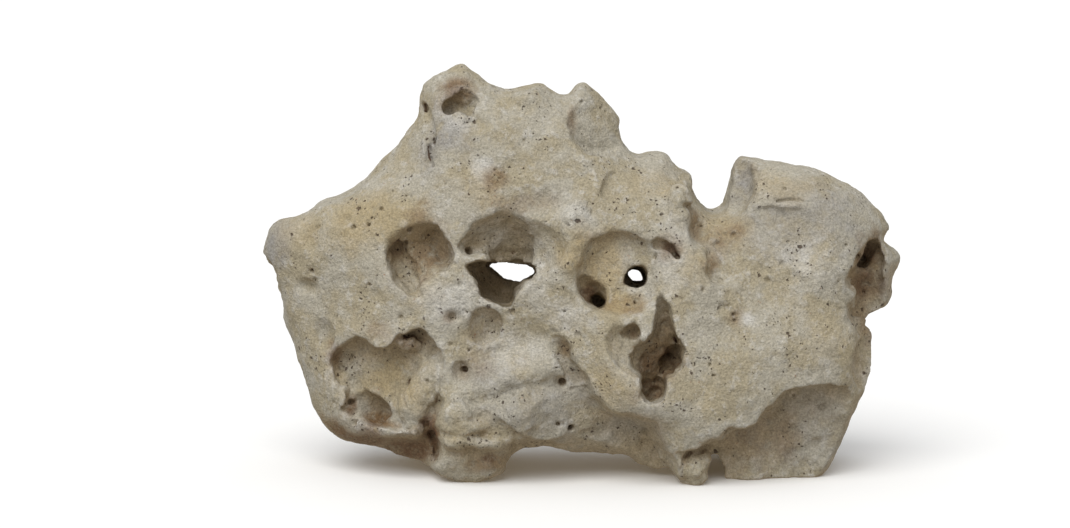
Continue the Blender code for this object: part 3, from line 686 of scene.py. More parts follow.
# Hollows carved from it.  A window gives its name, rim, floor, tilt, corner, taper, blend, ragged, loop.
HOLLOWS: tuple[Shape, ...] = (
    # bowl A: a deep right half with a crisp rim, a lit left lobe, and a shelf above
    Window("shelf above A", -50, -42, (-0.25, -0.2), 8, 0.3, 3, 0.4, (
        (-109, 195), (-103, 188), (-98, 183), (-96, 176), (-104, 168), (-120, 164), (-136, 158), (-138, 167),
        (-132, 177), (-123, 183), (-114, 186))),
    Window("bowl A", -54, -31, (0.1, 0.1), 15, 0.1, 1.2, 0.5, (
        (-98, 181), (-95, 175), (-91.5, 170), (-89.5, 162), (-90, 154), (-94, 149), (-99, 147), (-104, 141),
        (-110, 137), (-112, 130), (-117, 127), (-123, 129), (-129, 135), (-133, 143), (-135.5, 153),
        (-135, 163), (-131, 172), (-124, 178), (-115, 180), (-106, 181))),
    Window("bowl A right", -54, -22, (0.15, 0.2), 13, 0.1, 3, 0.5, (
        (-98, 180), (-92, 171), (-89.5, 161), (-91, 154), (-97, 149), (-104, 153), (-110, 163), (-110, 174),
        (-105, 180))),
    Window("bowl A left", -36, -24, (-0.15, 0.25), 6, 0.12, 1.5, 0.6, (
        (-133, 150), (-133.5, 158), (-131, 165), (-127, 168.5), (-121, 166), (-117, 158), (-114, 148),
        (-112, 139), (-118, 131), (-126, 138))),
    Bore("pocket A", ((-131, -36, 158, 3), (-129, -28, 163, 3.4), (-125, -28, 167, 3)), blend=1.5),
    # funnel B over a mouth, with a thin lip between, and the tunnel behind
    Window("funnel B wide", -60, -40, (-0.3, -0.4), 14, 0.3, 2, 0.5, (
        (-84, 166), (-82, 172), (-79.5, 177), (-73, 182), (-65, 187), (-57, 191), (-48, 193), (-38, 192),
        (-28, 188), (-20, 182), (-15, 174), (-14, 166), (-17, 158), (-22, 152), (-29, 147), (-34, 146),
        (-40, 150), (-50, 155), (-62, 157), (-74, 158), (-80, 160.5))),
    Window("funnel B", -58, -31, (0.25, -0.6), 13, 0.15, 3, 0.5, (
        (-84, 166), (-82, 172), (-79.5, 177), (-73, 182), (-65, 187), (-57, 191), (-50, 192), (-43, 189),
        (-37, 182), (-32, 172), (-29.5, 162), (-31, 154), (-35, 149), (-42, 145), (-54, 144), (-62, 147),
        (-65.5, 153.5), (-69, 158), (-74, 159), (-80, 161))),
    Ball("funnel above B", (-34, -66, 197), (24, 17, 10), (0, -10, 0), blend=8, ragged=0.3),
    Window("mouth B", -56, -15, (0.0, 0.0), 2, 0.0, 1, 0.3, (
        (-79, 153), (-77, 148), (-73, 143), (-71, 137), (-70, 131), (-64, 127), (-57, 124), (-50, 123),
        (-47, 128), (-45, 133), (-42, 137), (-39, 140.5), (-35, 143.5), (-32.5, 148), (-34, 152), (-40, 154),
        (-52, 154.5), (-64, 155), (-74, 154.5))),
    Window("chamber B", -56, 6, (0.5, 0.0), 9, 0.03, 1, 0.3, (
        (-79, 152), (-77, 147), (-73, 142), (-71, 136), (-70, 131), (-64, 127), (-57, 124), (-50, 123),
        (-47, 128), (-45, 133), (-42, 137), (-38, 141), (-34, 146), (-33, 150), (-37, 153), (-52, 153.5),
        (-68, 153.5))),
    Window("tunnel B", -56, 120, (0.0, 0.0), 3, 0.0, 1, 0.1, (
        (-67, 154), (-65.5, 150), (-60, 145.5), (-53, 142.5), (-46, 141), (-38, 141.2), (-33, 144),
        (-31, 148), (-33, 151.5), (-38, 153.5), (-50, 154.5), (-60, 154.5))),
    Bore("tunnel B behind", ((-50, 12, 147, 7), (-50, 50, 146, 12)), blend=3),
    Ball("back bowl B", (-48, 78, 126), (42, 46, 34), blend=8),
    # bowl F with its holes
    Window("bowl F", -64, -52, (0.0, 0.22), 9, 0.2, 3, 0.3, (
        (-3, 151), (-3, 142), (-1, 134), (5, 127), (14, 122), (26, 119), (38, 120), (45, 124), (50, 132),
        (52, 142), (52, 152), (50, 161), (46, 168), (40, 172), (33, 175.5), (24, 177), (15, 175.5),
        (7, 171.5), (2, 165), (-1, 159))),
    Window("side hollow F", -56, -47, (0.2, -0.1), 5, 0.12, 1.5, 0.8, (
        (47, 168), (52, 171.5), (58, 170.5), (63, 167), (67, 161.5), (67, 157), (63, 156.5), (58, 160),
        (53, 163), (49, 164.5))),
    Bore("slit F", ((49, -56, 160, 1.6), (50, -52, 155, 1.6)), blend=0.8, ragged=0.2),
    Window("hole F", -48, -12, (0.0, 0.0), 3, 0.0, 1, 0.2, (
        (29, 143), (31, 148), (35, 150), (40, 150), (44, 147), (45, 142), (43, 137.5), (38, 135.5),
        (33, 136), (30, 139))),
    Window("through F", -48, 120, (0.0, 0.0), 3, 0.0, 1, 0.1, (
        (31, 147), (33.5, 149.5), (38, 149.8), (42, 147.5), (44.5, 143.5), (43.5, 140), (39, 139.5),
        (34.5, 141), (32, 143.5))),
    Ball("back bowl F", (34, 80, 122), (30, 42, 28), blend=8),
    Window("pit P1", -58, -43, (0.2, -0.2), 7, 0.15, 2, 0.6, (
        (-2, 142), (1, 145.5), (6, 143), (11, 139), (15, 133), (15, 128), (11, 124), (6, 125), (1, 129.5),
        (-2, 136))),
    Bore("hole P1", ((10, -48, 128.5, 4.4), (11, -18, 124, 4.2)), blend=1.2),
    Window("crescent", -76, -66, (0.25, 0.0), 6, 0.3, 2.5, 0.3, (
        (22, 114), (16, 105), (16, 95), (21, 87), (28, 81), (36, 77), (44, 80), (44, 100), (34, 110))),
    Window("pit P2", -74, -60, (0.35, 0.35), 5, 0.1, 1, 0.4, (
        (25, 106), (27, 110), (31, 113.5), (36, 114), (40, 111), (41.5, 106), (40, 102), (36, 100.5),
        (31, 101), (27, 103))),
    # slot S, its floor deeper below and to the right
    Window("slot S", -74, -49, (0.5, -0.25), 6, 0.05, 1, 1.0, (
        (54, 131.5), (50, 126), (49, 118), (47, 109), (40, 101), (33, 94), (31, 88), (34, 81), (38, 75),
        (37.5, 69), (41, 61), (46, 57), (53, 60), (56.5, 67), (55, 74), (60, 79), (65, 85), (66.5, 93),
        (65, 102), (62, 111), (61, 120), (59, 127))),
    Window("slot S deep", -60, -32, (0.0, -0.1), 6, 0.1, 2, 1.8, (
        (64, 98), (57, 96), (51, 89), (52, 81), (57, 77), (62, 80), (65, 88), (65.5, 93))),
    Window("slot S low", -70, -44, (0.0, -0.5), 5, 0.05, 2, 1.8, (
        (38, 69), (39.5, 76), (43, 82), (50, 84), (55, 79), (56, 68), (53, 61), (46, 57.5), (41.5, 61))),
    Window("bowl C", -58, -49, (0.3, -0.1), 9, 0.05, 1.5, 0.35, (
        (-82, 112), (-80, 103), (-75, 97), (-67, 95.5), (-59, 100), (-55.5, 108), (-56.5, 117), (-63, 123),
        (-71, 125), (-79, 121))),
    # recess D with what opens out of it
    Window("recess D", -46, -30, (-0.38, 0.06), 7, 0.12, 1.5, 1.0, (
        (-177, 88), (-172, 94), (-163, 99), (-155, 103), (-148, 101), (-141, 96), (-134, 98), (-127, 104),
        (-119, 108), (-110, 106), (-104, 101), (-99, 92), (-97, 82), (-99, 72), (-98, 62), (-100, 50),
        (-103, 40), (-112, 34), (-126, 36), (-140, 38), (-152, 40), (-163, 44), (-168, 52), (-166, 62),
        (-172, 72), (-177, 80))),
    Bore("slot D", ((-133.5, -40, 101, 2), (-130, -36, 102, 2.8), (-128, -34, 103, 2)), blend=1, ragged=0.4),
    Bore("slot D right", ((-126, -42, 105.5, 1.8), (-123, -40, 106.5, 2.2), (-116, -40, 107, 1.2),
        (-109, -42, 102.5, 1.3)), blend=1, ragged=0.4),
    Window("nook D", -32, -20, (0.0, 0.2), 5, 0.2, 2, 0.8, (
        (-175, 84), (-173, 92), (-167, 94), (-164, 89), (-165, 81), (-170, 78))),
    Window("bowl E", -32, -16, (0.15, 0.1), 9, 0.1, 1.5, 0.6, (
        (-160, 62), (-153, 64), (-145, 62.5), (-137, 58.5), (-132, 53), (-130, 47), (-134, 43), (-142, 41),
        (-152, 43), (-158, 50))),
    Window("underside left", -44, -20, (-0.35, -0.3), 12, 0.25, 2, 1.0, (
        (-172, 44), (-164, 39), (-152, 36), (-140, 35), (-128, 33), (-116, 32), (-108, 38), (-102, 36),
        (-101, 22), (-104, 8), (-112, -10), (-150, -10), (-185, 0), (-190, 34))),
    Window("groove by the nose", -56, -30, (0.0, 0.0), 6, 0.2, 2, 1.0, (
        (-113, 45), (-107, 47), (-102, 42), (-99, 34), (-97, 25), (-97, 15), (-102, 11), (-107, 14),
        (-109, 24), (-111, 34))),
    Window("front of the left foot", -68, -57, (0.0, -0.5), 9, 0.15, 2, 0.8, (
        (-104, 22), (-90, 26), (-76, 22), (-64, 23), (-54, 27), (-47, 28), (-36, 14), (-40, -20),
        (-112, -20), (-110, 12))),
    Bore("nose groove", ((-84, -72, 70, 5), (-76, -71.5, 60, 5.5), (-67, -71, 49, 5.5), (-56, -69, 39, 5.5),
        (-46, -66, 33, 4.5)), blend=1.5),
    # the valley under the plate's edge
    Window("step under the plate", -62, -52.5, (0.36, -0.14), 6, 0.2, 1, 0.6, (
        (-31, 118), (-22, 108), (-12, 99.5), (-8, 90), (-2, 80), (3, 68), (9, 59), (18, 51), (28, 47),
        (40, 44), (48, 42), (52, 33), (57, 24), (63, 12), (66, -20), (30, -20), (0, -10), (-20, 14),
        (-34, 34), (-34, 60), (-30, 80), (-40, 95), (-46, 112))),
    Window("edge step", -66, -57.5, (0.15, 0.0), 3, 0.15, 1.2, 0.8, (
        (-38, 120), (-30, 115.5), (-22, 109.5), (-14, 103.5), (-9.5, 97), (-8, 90), (-2, 81), (2, 71),
        (-8, 70), (-16, 80), (-24, 90), (-34, 100), (-44, 110))),
    Window("underside middle", -60, -34, (0.0, 0.0), 6, 0.15, 1.2, 0.6, (
        (-51, 27), (-44, 30.5), (-36, 32), (-26, 32), (-16, 30), (-6, 27), (2, 20), (6, -20), (-54, -20))),
    # right of the ridge: dish G and the strip above it
    Window("dish G", -58, -40, (-0.03, 0.44), 4, 0.1, 1.5, 0.5, (
        (74, 176), (77, 168), (84, 164), (85.5, 155), (84.5, 147), (90, 138), (110, 138), (130, 142),
        (150, 152), (165, 168), (160, 188), (140, 196), (112, 196), (88, 194))),
    Window("strip G", -46, -29, (0.2, 0.3), 6, 0.15, 1.5, 0.4, (
        (70, 193), (73, 186), (72.5, 176), (76, 167), (86, 164), (91, 175), (92, 186), (88, 193),
        (79, 196))),
    Window("notch channel", -24, 2, (0.1, 0.4), 9, 0.15, 1.2, 0.3, (
        (119, 232), (121, 214), (119, 202), (114, 192), (105, 186), (94, 186), (90, 200), (92, 232))),
    # underside on the right, behind the plate's lower rim
    Window("underside right", -66, -38, (0.1, -0.1), 7, 0.03, 1, 0.9, (
        (70, 22), (77, 25), (86, 28), (96, 33), (104, 39.5), (113, 42), (121, 45.5), (127, 54), (135, 61.5),
        (143, 66.5), (152, 69.5), (168, 70), (186, 66), (200, 54), (216, 30), (216, -24), (74, -24),
        (68, 8))),
    # the right end
    Window("cavity H", -30, 3, (0.35, 0.0), 9, 0.06, 1.2, 1.0, (
        (203, 169), (197, 166), (192, 161), (188, 153), (184.5, 146), (184, 139), (187, 133), (187, 126),
        (188, 118), (198, 114), (208, 117), (214, 124), (215, 134), (214, 144), (214, 153), (210, 162),
        (206, 168))),
    Window("cavity H low", -30, -8, (0.3, 0.1), 8, 0.15, 1.5, 0.8, (
        (184, 124), (187, 112), (188, 98), (186, 82), (192, 68), (212, 56), (244, 60), (244, 124),
        (212, 122))),
    Bore("cavity H deep", ((201, -6, 156, 8), (194, 10, 151, 9)), blend=2),
    Window("pit T", -24, -11, (-0.3, -0.2), 5, 0.1, 0.8, 1.2, (
        (-101, 262), (-98, 269), (-91, 272.5), (-85, 275), (-79, 272.5), (-74, 267.5), (-76, 261),
        (-76, 257.5), (-81, 256.5), (-86, 259), (-92, 255.5), (-98, 256.5))),
    Window("knob face", -26, -11, (0.6, 0.15), 4, 0.1, 1, 0.6, (
        (-2, 276), (-7, 264), (-9.5, 250), (-8, 239), (-1, 231), (10, 227), (20, 228), (34, 236), (34, 262),
        (14, 284))),
    Window("depression R", -60, -38, (0.13, 0.9), 5, 0.05, 1.2, 0.4, (
        (26, 219), (18, 216), (13, 209), (11.5, 202), (14, 195), (19, 190), (27, 187), (38, 187), (50, 190),
        (60, 198), (64, 208), (60, 216), (46, 221))),
    Ball("rear left bowl", (-142, 76, 104), (26, 26, 32), blend=8),
    Ball("rear low bowl", (30, 96, 56), (36, 26, 20), blend=8),
    Ball("rear right bowl", (152, 74, 128), (28, 30, 32), blend=8),
    Ball("rear top pit", (-14, 64, 212), (17, 18, 15), blend=5),
    Ball("left end bowl", (-224, 16, 122), (16, 26, 24), blend=6),
    Ball("right end bowl", (214, 26, 86), (16, 24, 20), blend=6),
    Ball("arch roof", (6, 34, 2), (66, 58, 30), blend=4),
    Ball("channel roof", (91, 24, 2), (15, 66, 25), blend=4),
)

# What stands inside the hollows.
LATE_LUMPS: tuple[Shape, ...] = (
    Ball("tongue D", (-121, -40, 97.5), (14, 9, 6.5), (0, 8, 0), blend=3, ragged=2.0),
    Ball("hanging lobe", (-113, -40, 54), (14, 13, 20), blend=6),
    Ball("hanging lobe top", (-106, -44, 72), (9, 9, 13), (0, 20, 0), blend=7),
    Ball("rubble F", (27, -44, 124), (12, 10, 6), blend=4),
    Ball("plate foot tip", (75, -49, 12), (13, 16, 18), blend=3),
    Ball("right foot", (117, -28, 8), (17, 14, 26), blend=4),
    Ball("rubble T", (-83, -8, 265), (6, 8, 6), blend=2.5, ragged=1.5),
)
LATE_HOLLOWS: tuple[Shape, ...] = (
    Bore("hole D", ((-110, -54, 43, 3.6), (-108, -45, 41, 4), (-105, -45, 34, 4)), blend=1.5),
)

# Shallow dents pressed along the skin's own normal.
DENTS: tuple[Dent, ...] = (
    Dent((-91, 118), (6, 5), 4.0), Dent((-82, 79), (6.5, 8), 4.0), Dent((-188, 166), (9, 12), 4.0),
    Dent((-165, 181), (6, 6), 3.0), Dent((-58, 92), (11, 5), 2.0, -14), Dent((-62, 58), (9, 7), 2.0),
    Dent((-16, 72), (6, 5), 3.0), Dent((122, 212), (12, 6), 2.5, -6),
    Dent((150, 166), (17, 26), 2.0, 4, 3.0), Dent((200, 128), (7, 9), 3.0),
    Dent((-45, 218), (16, 9), 2.0, -20), Dent((-74, 248), (10, 7), 2.5), Dent((-24, 250), (8, 9), 2.0),
    Dent((100, 108), (10, 8), 2.0, 40), Dent((-146, 130), (10, 12), 3.0), Dent((-180, 100), (12, 14), 6.0),
    Dent((-192, 132), (10, 8), 4.0), Dent((-30, 36), (12, 6), 2.5), Dent((6, 34), (13, 6), 2.5),
    Dent((-74, 15), (4.5, 14), 2.5, 8),
)

# Grooves and cracks that follow the skin.
GROOVES: tuple[Groove, ...] = (
    Groove(((-14, 197, 3.4), (-7, 193, 4.0), (-1, 189, 4.0), (-4, 181, 3.2)), 1.6),
    Groove(((-111, 258, 4.0), (-107, 248, 4.5), (-104, 236, 5.0), (-106, 222, 5.0)), 3.5),
    Groove(((-111, 259, 1.4), (-110, 255, 1.6)), 4.0),
    Groove(((-102, 236, 1.3), (-102.5, 233, 1.5)), 4.0),
    Groove(((-105, 230, 1.4), (-105, 224, 1.5), (-103, 220, 1.1)), 4.0),
    Groove(((133, 195, 1.0), (141, 196, 1.4), (151, 194.5, 1.0)), 2.6),
    Groove(((64, 23, 3.0), (74, 25, 3.6), (84, 28, 3.0)), 1.2),
    Groove(((-8, 67, 1.0), (2, 68, 1.0)), 1.2),
    Groove(((-120, 70, 1.4), (-124, 62, 2.0), (-122, 54, 1.4)), 3.0),
    Groove(((-82, 121, 1.0), (-72, 117, 0.9)), 1.2),
    Groove(((-88, 182, 0.9), (-87, 186, 0.9)), 1.4),
    Groove(((60, 112, 1.2), (66, 92, 1.4)), 1.0),
    Groove(((92, 176, 1.0), (98, 172, 1.2), (104, 174, 1.0)), 1.4),
)

# Pits pressed into the skin, as (x, z, radius, depth).
PITS: tuple[Row, ...] = (
    (-49, 120, 2.2, 5), (-13, 123.5, 1.5, 4), (-91, 118, 2.6, 3), (-78, 94, 1.4, 4), (-81, 80, 2.6, 8),
    (-4, 108, 2.4, 2), (-15, 72, 2.7, 7), (-8, 39, 3.2, 10), (-18, 43, 1.8, 5), (-14, 43, 1.4, 4),
    (-118, 175, 1.9, 4), (-93, 167, 1.7, 4), (-93, 152, 1.5, 4), (-111, 141, 1.8, 4), (-160, 53, 2.8, 7),
    (-160, 41, 3.0, 7), (65, 206, 1.6, 4), (-79, 162, 3.2, 9), (-160, 176, 1.9, 5), (-148, 177, 1.3, 4),
    (-183, 175, 1.6, 3), (-139, 188, 1.8, 4), (-142, 182, 1.0, 3), (-142, 161, 1.0, 3), (-131, 200, 1.3, 4),
    (-121, 198, 1.2, 4), (-117, 199, 1.0, 3), (-94, 208, 1.6, 3), (-60, 217, 1.3, 3), (-57, 212, 1.6, 3),
    (-52, 209, 1.4, 3), (-62, 206, 1.0, 3), (-58, 206, 1.2, 2), (-54, 215, 1.0, 3), (-55, 222, 0.9, 3),
    (-41, 237, 1.2, 3), (-51, 250, 1.0, 3), (-55, 252, 1.0, 3), (-86, 240, 0.9, 3), (-74, 258, 1.5, 4),
    (-98, 253, 1.0, 4), (6, 188, 1.5, 3), (-10, 181, 1.2, 3), (-25, 184, 1.4, 3), (82, 176, 1.3, 4),
    (105, 173, 2.0, 3), (94, 166, 1.8, 3), (89, 168, 1.0, 3), (112, 165, 1.2, 3), (139, 203, 1.5, 3),
    (125, 199, 1.0, 4), (141, 167, 1.4, 3), (102, 119, 1.6, 4), (103, 115, 1.8, 4), (141, 117, 1.1, 4),
    (145, 122, 1.0, 3), (171, 160, 1.0, 3), (168, 147, 1.0, 3), (176, 140, 1.0, 3), (152, 139, 0.9, 3),
    (140, 136, 0.9, 2), (185, 101, 1.6, 4), (177, 121, 1.6, 2), (86, 85, 1.1, 3), (97, 73, 1.0, 3),
    (88, 78, 0.9, 3), (155, 78, 2.2, 2), (3, 77, 1.2, 3), (-20, 84, 1.2, 3), (-48, 64, 1.2, 3),
    (-46, 37, 0.9, 3), (-66, 62, 2.0, 2), (-90, 57, 2.0, 2), (-103, 55, 1.0, 3), (-145, 56, 1.2, 3),
    (-152, 83, 1.4, 3), (-138, 89, 1.2, 3), (-162, 85, 1.4, 4), (-124, 85, 1.2, 3), (-108, 73, 1.6, 3),
    (-173, 52, 1.4, 3), (-126, 115, 1.8, 3), (-147, 138, 1.6, 4), (-189, 145, 1.6, 5), (-187, 138, 1.4, 4),
    (58, 86, 3.0, 9), (48, 83, 1.8, 4), (41, 88, 2.6, 4), (36, 128, 1.4, 4), (202, 139, 1.4, 4),
    (198, 126, 1.6, 4), (196, 132, 1.2, 3), (199, 148, 2.6, 6),
)


# Patches of colour, full at their centre and gone at their edge.  The last list, and some grey and brown
# patches, are painted shade.  A row gives the centre's x, y and z, the half sizes along them, and the
# strength.
STAINS: dict[str, tuple[Row, ...]] = {
    "ochre": (
        (-6, -56, 158, 16, 30, 26, 0.9), (20, -46, 126, 24, 30, 18, 1.0), (14, -50, 152, 24, 30, 26, 0.9),
        (20, -60, 74, 22, 30, 22, 0.6), (30, -60, 100, 18, 30, 18, 0.5), (92, -30, 176, 26, 40, 20, 0.7),
        (80, -40, 150, 14, 40, 28, 0.7), (78, -50, 60, 24, 30, 26, 0.4), (-145, -30, 178, 54, 40, 24, 0.7),
        (-190, -14, 168, 34, 40, 16, 0.5), (-140, -40, 72, 44, 40, 36, 0.8),
        (-82, -50, 30, 34, 30, 26, 0.5), (-112, -45, 150, 26, 40, 30, 0.4), (60, -30, 208, 28, 30, 18, 0.5),
        (-70, -40, 206, 22, 24, 14, 0.5), (130, -30, 204, 36, 40, 16, 0.5), (170, -40, 96, 36, 30, 30, 0.3),
        (110, 60, 60, 60, 50, 50, 0.6), (-90, 66, 120, 60, 40, 50, 0.6), (20, 60, 210, 50, 40, 36, 0.5),
    ),
    "chalk": (
        (-34, -60, 150, 20, 30, 30, 0.4), (-92, -50, 130, 24, 30, 20, 0.8), (-8, -60, 120, 22, 30, 22, 0.9),
        (58, -50, 148, 14, 30, 24, 0.5), (46, -46, 128, 12, 30, 24, 0.4), (-6, -48, 188, 16, 30, 16, 0.6),
        (112, -60, 116, 9, 20, 6, 1.0), (-46, -60, 96, 26, 30, 22, 0.5), (66, -50, 176, 14, 30, 14, 0.45),
        (150, -40, 150, 30, 30, 30, 0.4), (-84, -60, 250, 20, 60, 14, 0.6), (-69, -40, 217, 8, 24, 10, 1.2),
        (24, -50, 156, 18, 20, 14, 0.5), (54, -50, 154, 7, 20, 14, 0.7), (-56, -36, 172, 20, 20, 12, 0.5),
        (0, 80, 100, 40, 30, 60, 0.5),
    ),
    # grey: blue-grey patches, and painted shade on the left end, on the notch wall and in the valley under
    # the plate
    "grey": (
        (-88, -20, 238, 22, 30, 22, 0.9), (-104, -20, 226, 12, 30, 30, 0.7),
        (-216, 0, 160, 20, 40, 20, 0.8), (112, -10, 204, 14, 40, 26, 1.0),
        (150, -30, 182, 56, 40, 34, 0.55), (-34, -64, 58, 42, 30, 24, 0.45), (24, -50, 38, 50, 30, 16, 0.4),
        (-56, -60, 72, 34, 24, 18, 0.4), (0, -50, 62, 20, 30, 24, 0.35), (150, -30, 36, 50, 40, 40, 0.4),
        (140, -30, 166, 26, 30, 30, 0.4), (-80, 40, 250, 40, 30, 30, 0.6), (180, 40, 180, 40, 40, 40, 0.5),
    ),
    # brown: rusty brown stains, and painted shade under the rims, in the funnel, slot and cavity and on the
    # undersides
    "brown": (
        (-88, -16, 266, 16, 20, 14, 1.0), (-104, -34, 164, 24, 30, 30, 0.9),
        (-129, -30, 160, 9, 16, 14, 1.0), (-56, -34, 178, 34, 30, 18, 0.25),
        (-38, -50, 195, 28, 24, 9, 0.5), (-74, -58, 86, 14, 20, 12, 0.4), (-140, -44, 106, 14, 20, 8, 0.5),
        (-60, -20, 138, 24, 50, 18, 0.9), (6, -46, 132, 11, 20, 11, 0.9), (16, -50, 126, 12, 16, 9, 0.6),
        (34, -58, 124, 10, 14, 10, 0.6), (34, -64, 108, 10, 16, 9, 0.7), (58, -50, 165, 12, 16, 11, 0.9),
        (24, -62, 172, 30, 14, 6, 0.4), (50, -46, 84, 26, 36, 38, 1.2), (54, -40, 84, 12, 30, 14, 1.0),
        (-122, -40, 99, 20, 20, 9, 1.1), (-147, -36, 97, 9, 16, 7, 1.0), (-171, -24, 86, 8, 20, 14, 1.2),
        (-161, -26, 50, 8, 16, 12, 1.2), (-142, -16, 52, 18, 20, 14, 0.5), (-66, -46, 15, 20, 24, 9, 1.1),
        (-146, -20, 34, 50, 30, 16, 1.2), (-118, -24, 26, 26, 30, 18, 1.3), (-105, -36, 30, 8, 30, 18, 1.6),
        (-104, -46, 40, 12, 20, 14, 0.9), (-12, -62, 97, 7, 12, 12, 1.0), (78, -36, 178, 8, 20, 18, 0.9),
        (88, -48, 154, 10, 20, 12, 1.0), (92, -42, 164, 18, 24, 16, 0.45), (95, -40, 166, 7, 14, 6, 0.7),
        (104, -40, 174, 8, 14, 6, 0.7), (104, -60, 117, 8, 14, 8, 0.7), (112, -14, 215, 12, 20, 10, 0.6),
        (199, -4, 148, 18, 30, 30, 1.8), (199, 0, 138, 14, 30, 22, 1.0), (198, -6, 108, 16, 24, 26, 0.8),
        (-7, -24, 252, 6, 16, 18, 0.9), (3, -24, 262, 10, 16, 10, 0.6), (-57, -46, 212, 12, 16, 10, 0.9),
        (120, -36, 34, 36, 30, 30, 0.6), (-84, -60, 80, 8, 14, 9, 0.7), (-92, -56, 117, 6, 12, 5, 0.7),
        (-74, -58, 108, 12, 16, 14, 0.4),
    ),
    # painted shade in the deepest holes, slots and cavity and under the overhangs
    "painted_shade_spots": (
        (47, -44, 65, 10, 30, 11, 1.0), (45, -50, 84, 14, 20, 12, 0.4), (60, -38, 88, 8, 30, 9, 0.9),
        (-104, -40, 30, 6, 30, 13, 1.2), (-107, -44, 43, 6, 16, 5, 1.2), (-128, -34, 101, 12, 20, 4, 0.9),
        (-171, -24, 86, 6, 20, 9, 0.7), (-160, -26, 50, 6, 16, 9, 0.9), (-118, -20, 20, 26, 24, 12, 1.0),
        (-150, -16, 28, 24, 24, 12, 0.8), (-66, -52, 18, 7, 14, 4, 1.1), (202, 0, 154, 13, 30, 14, 1.1),
        (198, -2, 136, 10, 30, 16, 0.8), (210, 0, 140, 6, 30, 22, 0.4), (6, -44, 131, 7, 14, 8, 0.9),
        (59, -50, 165, 7, 12, 5, 0.8), (-128, -30, 160, 5, 12, 9, 0.8), (34, -60, 106, 5, 14, 5, 0.5),
        (-90, -14, 268, 9, 14, 6, 0.6),
    ),
}


